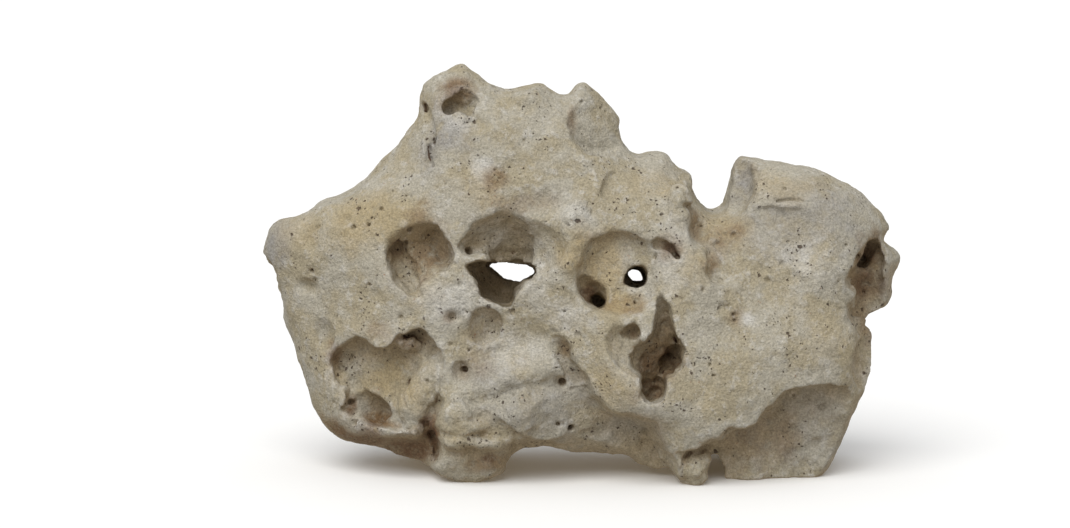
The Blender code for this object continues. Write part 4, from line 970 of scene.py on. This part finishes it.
@dataclass
class Boulder:
    """The whole stone: its sizes in millimetres, and the steps that shape and dress it."""

    step: float = 1.35            # grid spacing
    quick_step: float = 2.6       # grid spacing for a rough look
    low: Point = (-235, -92, -10)     # corners of the grid
    high: Point = (232, 96, 292)
    edge_rounding: float = 22.0   # radius that turns the faces into the edge
    least_rounding: float = 6.0   # and where the stone is thin
    curve_steps: int = 6          # points between two drawn points of the outline
    skin_depth: float = 6.0       # how far from the skin the weathering is worked out
    ripple: float = 0.7           # height of the small ripple on the open faces
    sunk_ripple: float = 0.7      # what the ripple gains inside a hollow
    sinking: float = 14.0         # depth under the uncut stone at which it has gained all of it
    dent_rim: float = 1.5         # rounding of a dent's rim
    groove_rim: float = 1.0       # and of a groove's
    pit_rim: float = 0.6          # and of a pit's or a pore's
    dent_fray: float = 0.35       # how ragged a dent or a pit is
    groove_fray: float = 0.3
    pore_fray: float = 0.5
    seed: int = 7
    pore_count: int = 260         # small pores, over the quarter of the skin where they gather
    least_pore: float = 0.7       # radius
    most_triangles: int = 192_000
    light_axis: Point = (-0.25, -0.55, 0.8)   # the middle of the rays that judge the shelter
    ray_lean: float = 38.0        # degrees between that axis and the rays round it
    ray_start: float = 1.5        # where a ray starts, clear of the skin
    ray_marks: Row = (4.0, 8.0, 14.0, 22.0, 34.0, 52.0, 80.0)   # and where it is tested
    # the nooks found by these walks take painted shade; the edges take paler wear and painted highlight
    nook_walks: tuple[Row, ...] = ((3.0, 0.2), (6.0, 0.25), (12.0, 0.3), (24.0, 0.25))   # (mm, weight)
    edge_walks: tuple[Row, ...] = ((3.0, 0.4), (6.0, 0.35), (12.0, 0.25))
    grid: Field = field(init=False)
    uncut: np.ndarray = field(init=False)

    def make_slab(self) -> None:
        """The slab: the front, the back and the outline, met at a rounded edge."""
        x, y, z = self.grid.axes
        inset = depth_inside(x, z, smooth_loop(OUTLINE, self.curve_steps))
        front, back = relief(FRONT, x, z), relief(BACK, x, z)
        radius = np.clip((back - front) / 2, self.least_rounding, self.edge_rounding).astype(np.float32)
        side = (radius - inset)[:, None, :].astype(np.float32)
        y3 = y[None, :, None]
        face = np.maximum(front[:, None, :] - y3, y3 - back[:, None, :]).astype(np.float32)
        face += radius[:, None, :]
        self.grid.values = rounded_corner(side, face, radius[:, None, :])

    def carve(self) -> None:
        """Fuse the lumps, carve the hollows, then fuse and carve what stands inside them."""
        self.grid.apply_all(LUMPS, Side.FUSE)
        self.uncut = self.grid.values.copy()
        self.grid.apply_all(HOLLOWS, Side.CARVE)
        self.grid.apply_all(LATE_LUMPS, Side.FUSE)
        self.grid.apply_all(LATE_HOLLOWS, Side.CARVE)

    def weather(self) -> None:
        """Shift the skin by broad and fine noise, rougher inside the hollows, and level the feet."""
        near, places = self.grid.band(self.skin_depth)
        sunk = np.clip(-self.uncut[tuple(near.T)] / self.sinking, 0.0, 1.0)
        ripple = (self.ripple + self.sunk_ripple * sunk) * RIPPLE.at(places)
        self.grid.values[tuple(near.T)] += BROAD_WAVE.at(places) + ripple
        floor = -self.grid.axes[2][None, None, :]
        self.grid.values = np.maximum(self.grid.values, floor)

    def press(self, dent: Dent, blend: float) -> None:
        """Carve a ball that lies along the skin's normal, where the skin is met from the front.

        Args:
            dent: the dish, its middle at (x, z).
            blend: rounding of the rim.
        """
        spot, normal = self.grid.front(*dent.at)
        tilt = math.degrees(math.asin(float(np.clip(-normal[2], -0.9, 0.9))))
        swing = math.degrees(math.atan2(float(normal[0]), float(-normal[1])))
        x, y, z = (float(v) for v in spot + normal * dent.depth * (dent.flare - 1.0))
        half = (dent.half[0], dent.depth * dent.flare, dent.half[1])
        turn = (tilt, dent.turn, swing)
        self.grid.apply(Ball("dent", (x, y, z), half, turn, blend, self.dent_fray), Side.CARVE)

    def channel(self, groove: Groove) -> None:
        """Carve a groove as one bore a radius deep, and further bores below it where it is deeper."""
        stations = [(self.grid.front(x, z), r) for x, z, r in groove.path]
        least = min(r for _, r in stations)
        for below in np.arange(0.0, max(groove.depth - least, 0.0) + least, least):
            path = []
            for (spot, normal), radius in stations:
                out = max(radius - groove.depth, 0.0) - below
                x, y, z = (float(v) for v in spot + normal * out)
                path.append((x, y, z, radius))
            self.grid.apply(Bore("groove", tuple(path), self.groove_rim, self.groove_fray), Side.CARVE)

    def pit(self) -> None:
        """Press dents, grooves, drawn pits and a seeded scatter of small pores into the skin."""
        for dent in DENTS:
            self.press(dent, self.dent_rim)
        for groove in GROOVES:
            self.channel(groove)
        chance = np.random.default_rng(self.seed)
        for x, z, radius, deep in PITS:
            wide = float(chance.uniform(0.8, 1.3))
            turn = float(chance.uniform(-60, 60))
            self.press(Dent((x, z), (radius * wide, radius / wide), deep, turn, 1.0), self.pit_rim)
        _, places = self.grid.band(0.5 * self.grid.step)
        crowd = PORE_CROWD.at(places) + 0.4 * chance.random(len(places))
        order = np.argsort(-crowd)[: len(places) // 4]
        for i in chance.choice(order, size=self.pore_count, replace=False):
            radius = float(self.least_pore + 1.6 * chance.random() ** 2.5)
            spot = (float(places[i, 0]), float(places[i, 1]), float(places[i, 2]))
            half = (radius * float(chance.uniform(0.7, 1.6)), radius * 1.5, radius)
            turns = (float(chance.uniform(-40, 40)), float(chance.uniform(-90, 90)), 0.0)
            self.grid.apply(Ball("pore", spot, half, turns, self.pit_rim, self.pore_fray), Side.CARVE)

    def shape(self) -> bpy.types.Object:
        """Work out the field and turn it into the finished mesh.

        Returns:
            The rock as a new object at the origin.
        """
        step = self.step
        self.grid = Field(self.low, self.high, step)
        self.make_slab()
        self.carve()
        self.weather()
        self.pit()
        points, quads = largest_piece(*self.grid.skin())
        points[:, 2] = np.maximum(points[:, 2], 0.0)
        log.info("skin: %d points, %d quads", len(points), len(quads))
        rock = mesh_object("limestone_boulder", (points + np.array(SHIFT)) * MM, quads)
        thin(rock, self.most_triangles)
        return rock

    def shelter(self, places: np.ndarray, normal: np.ndarray) -> np.ndarray:
        """How much of the light from above and in front is hidden at each point, from 0 to 1.

        Rays spread round one axis are followed outwards.  A ray counts as closed where the stone
        comes within a third of the distance gone, or where the skin faces away from it.

        Args:
            places: N points in the drawing's millimetres.
            normal: N outward unit normals.

        Returns:
            N values.
        """
        total = np.zeros(len(places), np.float32)
        start = places + self.ray_start * normal
        turn = Vector(self.light_axis).normalized().to_track_quat("Z", "Y").to_matrix()
        rays = [(0.0, 0.0, 2.0)] + [(self.ray_lean, about, 1.0) for about in range(0, 360, 45)]
        for lean, about, weight in rays:
            lean, about = math.radians(lean), math.radians(about)
            way = Vector((math.sin(lean) * math.cos(about), math.sin(lean) * math.sin(about),
                          math.cos(lean)))
            way = np.array(turn @ way, np.float32)
            closed = np.clip(0.5 - 2.0 * (normal @ way), 0.0, 1.0)
            for reach in self.ray_marks:
                free = self.grid.sample(start + way * reach)
                closed = np.maximum(closed, np.clip(0.5 - free / (0.3 * reach), 0.0, 1.0))
            total += weight * closed
        return total / sum(weight for *_, weight in rays)

    def shortfall(self, places: np.ndarray, way: np.ndarray, walks: tuple[Row, ...], sign: float,
                  most: float) -> np.ndarray:
        """How far the skin stays closer than the distance walked from it: the sum of w (r - d) / r.

        Args:
            places: N points.
            way: N directions to walk in.
            walks: rows of (distance walked, weight).
            sign: 1 when walking out of the stone, -1 into it.
            most: the highest value one walk can give.

        Returns:
            N values.
        """
        total = np.zeros(len(places), np.float32)
        for reach, weight in walks:
            free = sign * self.grid.sample(places + way * reach)
            total += weight * np.clip((reach - free) / reach, 0.0, most)
        return total

    def dress(self, rock: bpy.types.Object) -> None:
        """Write the masks that the stone's colours follow, one value a vertex; some of them set painted
        shade.

        Args:
            rock: the boulder's object.
        """
        mesh = rock.data
        count = len(mesh.vertices)
        co = np.empty(count * 3, np.float32)
        mesh.vertices.foreach_get("co", co)
        normal = np.empty(count * 3, np.float32)
        mesh.vertices.foreach_get("normal", normal)
        places = co.reshape(-1, 3) / MM - np.array(SHIFT, np.float32)
        normal = normal.reshape(-1, 3)
        write_mask(mesh, "nook", self.shortfall(places, normal, self.nook_walks, 1.0, 1.2))
        write_mask(mesh, "edge", self.shortfall(places, -normal, self.edge_walks, -1.0, 1.0))
        write_mask(mesh, "shelter", self.shelter(places, normal))
        fray = STAIN_FRAY.at(places)
        for name, stains in STAINS.items():
            write_mask(mesh, name, stain_mask(places, stains, fray))


def stain_mask(places: np.ndarray, stains: tuple[Row, ...], fray: np.ndarray) -> np.ndarray:
    """Strongest stain at each point: strength times 1 - |p / half| frayed by noise, clipped at 0.

    Args:
        places: N points in the drawing's millimetres.
        stains: the patches, as rows.
        fray: N noise values that break the patches' edges.

    Returns:
        N values from 0 to the greatest strength.
    """
    best = np.zeros(len(places), np.float32)
    for stain in stains:
        away = (places - np.array(stain[:3])) / np.array(stain[3:6])
        fall = 1.0 - np.sqrt((away**2).sum(axis=1)) + fray
        best = np.maximum(best, stain[6] * np.clip(1.6 * fall, 0.0, 1.0))
    return best


def write_mask(mesh: bpy.types.Mesh, name: str, values: np.ndarray) -> None:
    """Store one number a vertex as a named attribute."""
    attribute = mesh.attributes.new(name, "FLOAT", "POINT")
    attribute.data.foreach_set("value", values.astype(np.float32))


def largest_piece(points: np.ndarray, quads: np.ndarray) -> tuple[np.ndarray, np.ndarray]:
    """Keep the biggest connected piece of a mesh, by passing the least label along edges.

    Args:
        points: all points.
        quads: all quads.

    Returns:
        The points and quads of that piece.
    """
    label = np.arange(len(points))
    while True:
        least = label[quads].min(axis=1)
        new = label.copy()
        for corner in range(4):
            np.minimum.at(new, quads[:, corner], least)
        new = new[new]
        if (new == label).all():
            break
        label = new
    names, counts = np.unique(label, return_counts=True)
    keep = label == names[counts.argmax()]
    renumber = np.cumsum(keep) - 1
    return points[keep], renumber[quads[keep[quads[:, 0]]]]


def mesh_object(name: str, points: np.ndarray, faces: np.ndarray) -> bpy.types.Object:
    """A smooth-shaded object at the origin from points in metres and faces of equal size.

    Args:
        name: the object's name.
        points: N by 3.
        faces: M by 3 or M by 4.

    Returns:
        The object, linked to the scene.
    """
    mesh = bpy.data.meshes.new(name)
    count, corners = faces.shape
    mesh.vertices.add(len(points))
    mesh.vertices.foreach_set("co", points.astype(np.float32).ravel())
    mesh.loops.add(count * corners)
    mesh.loops.foreach_set("vertex_index", faces.astype(np.int32).ravel())
    mesh.polygons.add(count)
    mesh.polygons.foreach_set("loop_start", np.arange(count, dtype=np.int32) * corners)
    mesh.polygons.foreach_set("use_smooth", np.ones(count, bool))
    mesh.update(calc_edges=True)
    mesh.validate()
    obj = bpy.data.objects.new(name, mesh)
    bpy.context.scene.collection.objects.link(obj)
    return obj


def thin(obj: bpy.types.Object, most: int) -> None:
    """Collapse the flattest edges until the mesh holds no more triangles than this.

    Args:
        obj: the object, whose mesh is replaced.
        most: the number of triangles.
    """
    mesh = obj.data
    triangles = sum(len(p.vertices) - 2 for p in mesh.polygons)
    if triangles <= most:
        return
    modifier = obj.modifiers.new("thin", "DECIMATE")
    modifier.ratio = most / triangles
    graph = bpy.context.evaluated_depsgraph_get()
    lighter = bpy.data.meshes.new_from_object(obj.evaluated_get(graph))
    obj.modifiers.clear()
    obj.data = lighter
    bpy.data.meshes.remove(mesh)
    log.info("%s: thinned from %d to %d triangles", obj.name, triangles, len(lighter.polygons))


# ---- Finish ----

Colour = tuple[int, int, int]
Socket = bpy.types.NodeSocket


def linear(red: int, green: int, blue: int) -> tuple[float, float, float, float]:
    """A colour given on the 0 to 255 screen scale, as Blender's linear values."""
    scaled = [c / 255.0 for c in (red, green, blue)]
    made = [c / 12.92 if c <= 0.04045 else ((c + 0.055) / 1.055) ** 2.4 for c in scaled]
    return made[0], made[1], made[2], 1.0


@dataclass
class Sheet:
    """A node tree under construction, with short calls for its nodes and links."""

    tree: bpy.types.NodeTree

    def add(self, kind: str, **values: object) -> bpy.types.Node:
        """A node of this kind, with inputs given by name and settings by attribute.

        Args:
            kind: the node's type name.
            values: settings; a name with a capital letter is an input, with _ for a blank.

        Returns:
            The node.
        """
        node = self.tree.nodes.new(kind)
        for name, value in values.items():
            if name[0].isupper():
                self.feed(node, name.replace("_", " "), value)
            else:
                setattr(node, name, value)
        return node

    def feed(self, node: bpy.types.Node, name: str | int, value: object) -> None:
        """Set an input to a number or colour, or link a socket to it."""
        socket = node.inputs[name]
        if isinstance(value, Socket):
            self.tree.links.new(value, socket)
        else:
            socket.default_value = value

    def maths(self, operation: str, a: object, b: object, clamp: bool = False) -> Socket:
        """The result of one Math node on two numbers or sockets."""
        node = self.add("ShaderNodeMath", operation=operation, use_clamp=clamp)
        self.feed(node, 0, a)
        self.feed(node, 1, b)
        return node.outputs[0]

    def times(self, *parts: object) -> Socket:
        """The product of numbers and sockets."""
        return reduce(lambda a, b: self.maths("MULTIPLY", a, b), parts)

    def plus(self, *parts: object) -> Socket:
        """The sum of numbers and sockets."""
        return reduce(lambda a, b: self.maths("ADD", a, b), parts)

    def most(self, *parts: object) -> Socket:
        """The greatest of numbers and sockets."""
        return reduce(lambda a, b: self.maths("MAXIMUM", a, b), parts)

    def ramp(self, value: object, low: float, high: float) -> Socket:
        """A smooth rise from 0 at low to 1 at high."""
        node = self.add("ShaderNodeMapRange", interpolation_type="SMOOTHSTEP")
        self.feed(node, "Value", value)
        self.feed(node, "From Min", low)
        self.feed(node, "From Max", high)
        return node.outputs[0]

    def mix(self, colour: object, amount: object, tint: object) -> Socket:
        """A colour turned towards a tint by an amount from 0 to 1."""
        node = self.add("ShaderNodeMix", data_type="RGBA")
        for index, value in ((0, amount), (6, colour), (7, tint)):
            self.feed(node, index, value)
        return node.outputs[2]

    def mask(self, name: str) -> Socket:
        """A number stored on the mesh."""
        node = self.add("ShaderNodeAttribute", attribute_type="GEOMETRY", attribute_name=name)
        return node.outputs["Fac"]

    def noise(self, place: Socket, scale: float, detail: float = 2.0, rough: float = 0.6) -> Socket:
        """Fractal noise from 0 to 1."""
        return self.add("ShaderNodeTexNoise", Vector=place, Scale=scale, Detail=detail,
                        Roughness=rough).outputs["Fac"]


def pore_group() -> bpy.types.NodeTree:
    """Round pores scattered one to a cell, each with its own size; some cells stay empty."""
    tree = bpy.data.node_groups.new("pores", "ShaderNodeTree")
    make = tree.interface.new_socket
    make("Vector", in_out="INPUT", socket_type="NodeSocketVector")
    for name, start in (("Scale", 200.0), ("Size", 0.3), ("Share", 0.5)):
        make(name, in_out="INPUT", socket_type="NodeSocketFloat").default_value = start
    make("Mask", in_out="OUTPUT", socket_type="NodeSocketFloat")
    sheet = Sheet(tree)
    entry, leave = sheet.add("NodeGroupInput"), sheet.add("NodeGroupOutput")
    cells = sheet.add("ShaderNodeTexVoronoi", feature="F1", Vector=entry.outputs["Vector"],
                      Scale=entry.outputs["Scale"], Randomness=1.0)
    split = sheet.add("ShaderNodeSeparateColor", Color=cells.outputs["Color"])
    held = sheet.maths("LESS_THAN", split.outputs[0], entry.outputs["Share"])
    size = sheet.times(entry.outputs["Size"], sheet.plus(sheet.times(split.outputs[1], 0.8), 0.4))
    away = sheet.maths("DIVIDE", cells.outputs["Distance"], sheet.most(size, 0.02))
    near = sheet.maths("SUBTRACT", 1.0, away, True)
    sheet.feed(leave, "Mask", sheet.times(sheet.ramp(near, 0.0, 0.45), held))
    return tree


@dataclass(frozen=True)
class Limestone:
    """Pale, matt, warm limestone with ochre stains, chalky patches, grain and open pores, and painted shade
    and highlight.
    """

    body: Colour = (172, 166, 151)
    warm: Colour = (165, 155, 132)
    chalk: Colour = (200, 197, 190)
    ochre: Colour = (170, 152, 115)
    # grey patches, and also painted shade on the notch wall, the left end and the valley
    grey: Colour = (143, 140, 137)
    # painted shade: the tone that faces hidden from the light from above and in front are turned to
    hollow: Colour = (166, 147, 117)
    # painted shade: the deep brown of the nooks and the deepest holes
    deep: Colour = (92, 64, 46)
    # painted shade inside the open pores
    pore_shade: Colour = (66, 48, 35)
    rust: Colour = (136, 92, 60)
    # brown stains, and also painted shade where its patches lie under rims and overhangs
    brown: Colour = (121, 96, 66)
    roughness: float = 0.93
    shine: float = 0.25
    broad_scale: float = 34.0     # noise cells a metre
    mid_scale: float = 140.0
    fine_scale: float = 650.0
    pore_layers: tuple[Row, ...] = ((520.0, 0.42, 0.28), (210.0, 0.32, 0.22), (105.0, 0.26, 0.10))
    pore_bend: float = 0.0035     # how far the pores' outlines are bent, in metres
    bump_height: float = 0.002    # in metres

    def make(self) -> bpy.types.Material:
        """Build the material.

        Returns:
            The material, on Object coordinates and the mesh's own masks.
        """
        material = bpy.data.materials.new("porous_limestone")
        material.use_nodes = True
        sheet = Sheet(material.node_tree)
        place = sheet.add("ShaderNodeTexCoord").outputs["Object"]
        mid = sheet.noise(place, self.mid_scale, 5.0, 0.7)
        fine = sheet.noise(place, self.fine_scale, 3.0, 0.75)
        # painted shade: how much of the light from above and in front is hidden, broken up by the middle
        # noise
        painted_shade = sheet.ramp(sheet.plus(sheet.mask("shelter"), sheet.times(mid, 0.4)), 0.5, 1.1)
        pores = self.pores(sheet, place)
        colour = self.add_painted_shade(sheet, self.in_the_open(sheet, place, mid), mid, painted_shade)
        fleck = sheet.times(sheet.ramp(sheet.noise(place, 380.0), 0.66, 0.74),
                            sheet.ramp(sheet.noise(place, 60.0), 0.5, 0.66))
        colour = sheet.mix(colour, sheet.times(fleck, 0.6), linear(*self.rust))
        # painted shade: the open pores darkened
        colour = sheet.mix(colour, sheet.times(pores, 0.8), linear(*self.pore_shade))
        grain = sheet.times(sheet.maths("SUBTRACT", fine, 0.5), 1.5)
        mottle = sheet.times(sheet.maths("SUBTRACT", mid, 0.5), painted_shade, 1.1)
        shade = sheet.add("ShaderNodeHueSaturation", Color=colour, Value=sheet.plus(grain, mottle, 1.0))
        height = sheet.plus(sheet.times(fine, 0.45), sheet.times(mid, 1.3),
                            sheet.times(sheet.noise(place, 300.0), 0.7), sheet.times(pores, -0.9))
        bump = sheet.add("ShaderNodeBump", Strength=0.9, Distance=self.bump_height, Height=height)
        shader = material.node_tree.nodes["Principled BSDF"]
        for name, value in (("Base Color", shade.outputs["Color"]), ("Roughness", self.roughness),
                            ("Specular IOR Level", self.shine), ("Normal", bump.outputs["Normal"])):
            sheet.feed(shader, name, value)
        return material

    def in_the_open(self, sheet: Sheet, place: Socket, mid: Socket) -> Socket:
        """The colour of the bare faces: two tones, chalky patches, drawn stains, some painted shade, and
        paler edges.

        Args:
            sheet: the material's nodes.
            place: Object coordinates.
            mid: the middle noise.

        Returns:
            The colour.
        """
        broad = sheet.ramp(sheet.noise(place, self.broad_scale, 4.0), 0.42, 0.60)
        colour = sheet.mix(linear(*self.body), broad, linear(*self.warm))
        colour = sheet.mix(colour, sheet.times(sheet.ramp(mid, 0.50, 0.70), 0.55), linear(*self.chalk))
        patchy = sheet.ramp(mid, 0.2, 0.55)
        for name, tint, share in (("grey", self.grey, 0.85), ("chalk", self.chalk, 0.95),
                                  ("ochre", self.ochre, 0.85), ("brown", self.brown, 0.8)):
            colour = sheet.mix(colour, sheet.times(sheet.mask(name), patchy, share), linear(*tint))
        # paler edges: wear, and painted highlight on the ridges
        edge_wear_and_highlight = sheet.times(sheet.ramp(sheet.mask("edge"), 0.2, 0.6), sheet.ramp(mid, 0.35, 0.6), 0.4)
        return sheet.mix(colour, edge_wear_and_highlight, linear(*self.chalk))

    def add_painted_shade(self, sheet: Sheet, colour: Socket, mid: Socket, painted_shade: Socket) -> Socket:
        """Painted shade: brown where light is hidden, less so on grey and chalky patches; deeper in nooks
        and holes.

        Args:
            sheet: the material's nodes.
            colour: the colour in the open.
            mid: the middle noise.
            painted_shade: how much of the light is hidden.

        Returns:
            The colour.
        """
        bare = sheet.times(sheet.most(sheet.mask("grey"), sheet.mask("chalk")), 0.8)
        # painted shade: the colour turned towards the hollow tone where the light is hidden
        tinted = sheet.times(painted_shade, sheet.maths("SUBTRACT", 0.8, bare, True))
        colour = sheet.mix(colour, tinted, linear(*self.hollow))
        # painted shade: the nooks and creases turned deep brown
        deepest = sheet.times(sheet.ramp(sheet.mask("nook"), 0.86, 1.12), 0.9)
        colour = sheet.mix(colour, deepest, linear(*self.deep))
        # painted shade on the patches listed last among the stains
        painted_shade_spots = sheet.times(sheet.mask("painted_shade_spots"), sheet.ramp(mid, 0.2, 0.6), 0.75)
        return sheet.mix(colour, painted_shade_spots, linear(*self.deep))

    def pores(self, sheet: Sheet, place: Socket) -> Socket:
        """Crowds of pores, a layer for each row of (cells a metre, size, share of cells with a pore).

        Args:
            sheet: the material's nodes.
            place: Object coordinates.

        Returns:
            A mask, 1 in a pore.
        """
        jitter = sheet.add("ShaderNodeTexNoise", Vector=place, Scale=420.0, Detail=2.0).outputs["Color"]
        bent = sheet.add("ShaderNodeVectorMath", operation="MULTIPLY_ADD")
        for index, value in ((0, jitter), (1, (self.pore_bend,) * 3), (2, place)):
            sheet.feed(bent, index, value)
        crowd = sheet.ramp(sheet.noise(place, 45.0), 0.48, 0.68)
        group, layers = pore_group(), []
        for scale, size, share in self.pore_layers:
            node = sheet.add("ShaderNodeGroup", node_tree=group)
            for name, value in (("Vector", bent.outputs[0]), ("Scale", scale), ("Size", size),
                                ("Share", sheet.times(crowd, share))):
                sheet.feed(node, name, value)
            layers.append(node.outputs["Mask"])
        return sheet.most(*layers)


# ---- Studio ----


@dataclass
class Studio:
    """Plain pale floor, soft light from above and in front, and the camera."""

    floor_half: float = 14.0
    floor_white: Colour = (250, 250, 249)
    sun_power: float = 2.2
    sun_spread: float = 50.0                      # degrees across, so shadows are soft
    sun_from: Point = (-0.30, -0.75, 1.0)
    sun_tone: Point = (1.0, 0.985, 0.96)
    sky: float = 0.63
    high_sky: Row = (0.97, 0.98, 1.0, 1.0)
    low_sky: Colour = (230, 226, 219)             # the sky's tone below the horizon
    aim: Point = (-33.0 + SHIFT[0], 0.0 + SHIFT[1], 146.0)   # mm
    distance: float = 2.5
    elevation: float = 8.0
    pixels_focal: float = 3571.4                  # focal length in image pixels
    sensor: float = 36.0

    def floor(self) -> bpy.types.Object:
        """A wide flat white floor at height zero, which takes shadows but throws no light back up."""
        h = self.floor_half
        points = np.array([(-h, -h, 0), (h, -h, 0), (h, h, 0), (-h, h, 0)], float)
        floor = mesh_object("floor", points, np.array([[0, 1, 2, 3]]))
        material = bpy.data.materials.new("floor_paint")
        material.use_nodes = True
        shader = material.node_tree.nodes["Principled BSDF"]
        shader.inputs["Base Color"].default_value = linear(*self.floor_white)
        shader.inputs["Roughness"].default_value = 0.8
        floor.data.materials.append(material)
        floor.visible_diffuse = False
        return floor

    def light(self) -> list[bpy.types.Object]:
        """One broad sun from above the camera's left, and an even sky."""
        data = bpy.data.lights.new("soft_sun", "SUN")
        data.energy = self.sun_power
        data.angle = math.radians(self.sun_spread)
        data.color = self.sun_tone
        sun = bpy.data.objects.new("soft_sun", data)
        bpy.context.scene.collection.objects.link(sun)
        sun.rotation_euler = Vector(self.sun_from).to_track_quat("Z", "Y").to_euler()
        world = bpy.data.worlds.new("even_sky")
        world.use_nodes = True
        sheet = Sheet(world.node_tree)
        way = sheet.add("ShaderNodeTexCoord").outputs["Generated"]
        height = sheet.add("ShaderNodeSeparateXYZ", Vector=way).outputs["Z"]
        tone = sheet.mix(linear(*self.low_sky), sheet.ramp(height, -0.15, 0.15), self.high_sky)
        background = world.node_tree.nodes["Background"]
        sheet.feed(background, "Color", tone)
        sheet.feed(background, "Strength", self.sky)
        bpy.context.scene.world = world
        return [sun]

    def camera(self) -> bpy.types.Object:
        """The camera, looking slightly down at the rock's front."""
        data = bpy.data.cameras.new("camera")
        data.sensor_width = self.sensor
        data.lens = self.pixels_focal * self.sensor / IMAGE_WIDTH
        data.clip_end = 200.0
        camera = bpy.data.objects.new("camera", data)
        bpy.context.scene.collection.objects.link(camera)
        tilt = math.radians(self.elevation)
        back = Vector((0.0, -math.cos(tilt), math.sin(tilt)))
        camera.location = Vector(self.aim) * MM + back * self.distance
        camera.rotation_euler = back.to_track_quat("Z", "Y").to_euler()
        bpy.context.scene.camera = camera
        bpy.context.scene.view_settings.view_transform = "Standard"
        bpy.context.scene.view_settings.look = "None"
        return camera


def main() -> None:
    """Load the frame, shape and dress the boulder, then set up the studio."""
    logging.basicConfig(level=logging.INFO, format="%(message)s", stream=sys.stdout)
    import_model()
    boulder = Boulder()
    rock = boulder.shape()
    boulder.dress(rock)
    rock.data.materials.clear()
    rock.data.materials.append(Limestone().make())
    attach(rock, "root")
    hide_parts(NODE)
    studio = Studio()
    studio.floor()
    studio.light()
    studio.camera()
    log.info("studio: floor, sun, sky and camera")


if __name__ == "__main__":
    main()
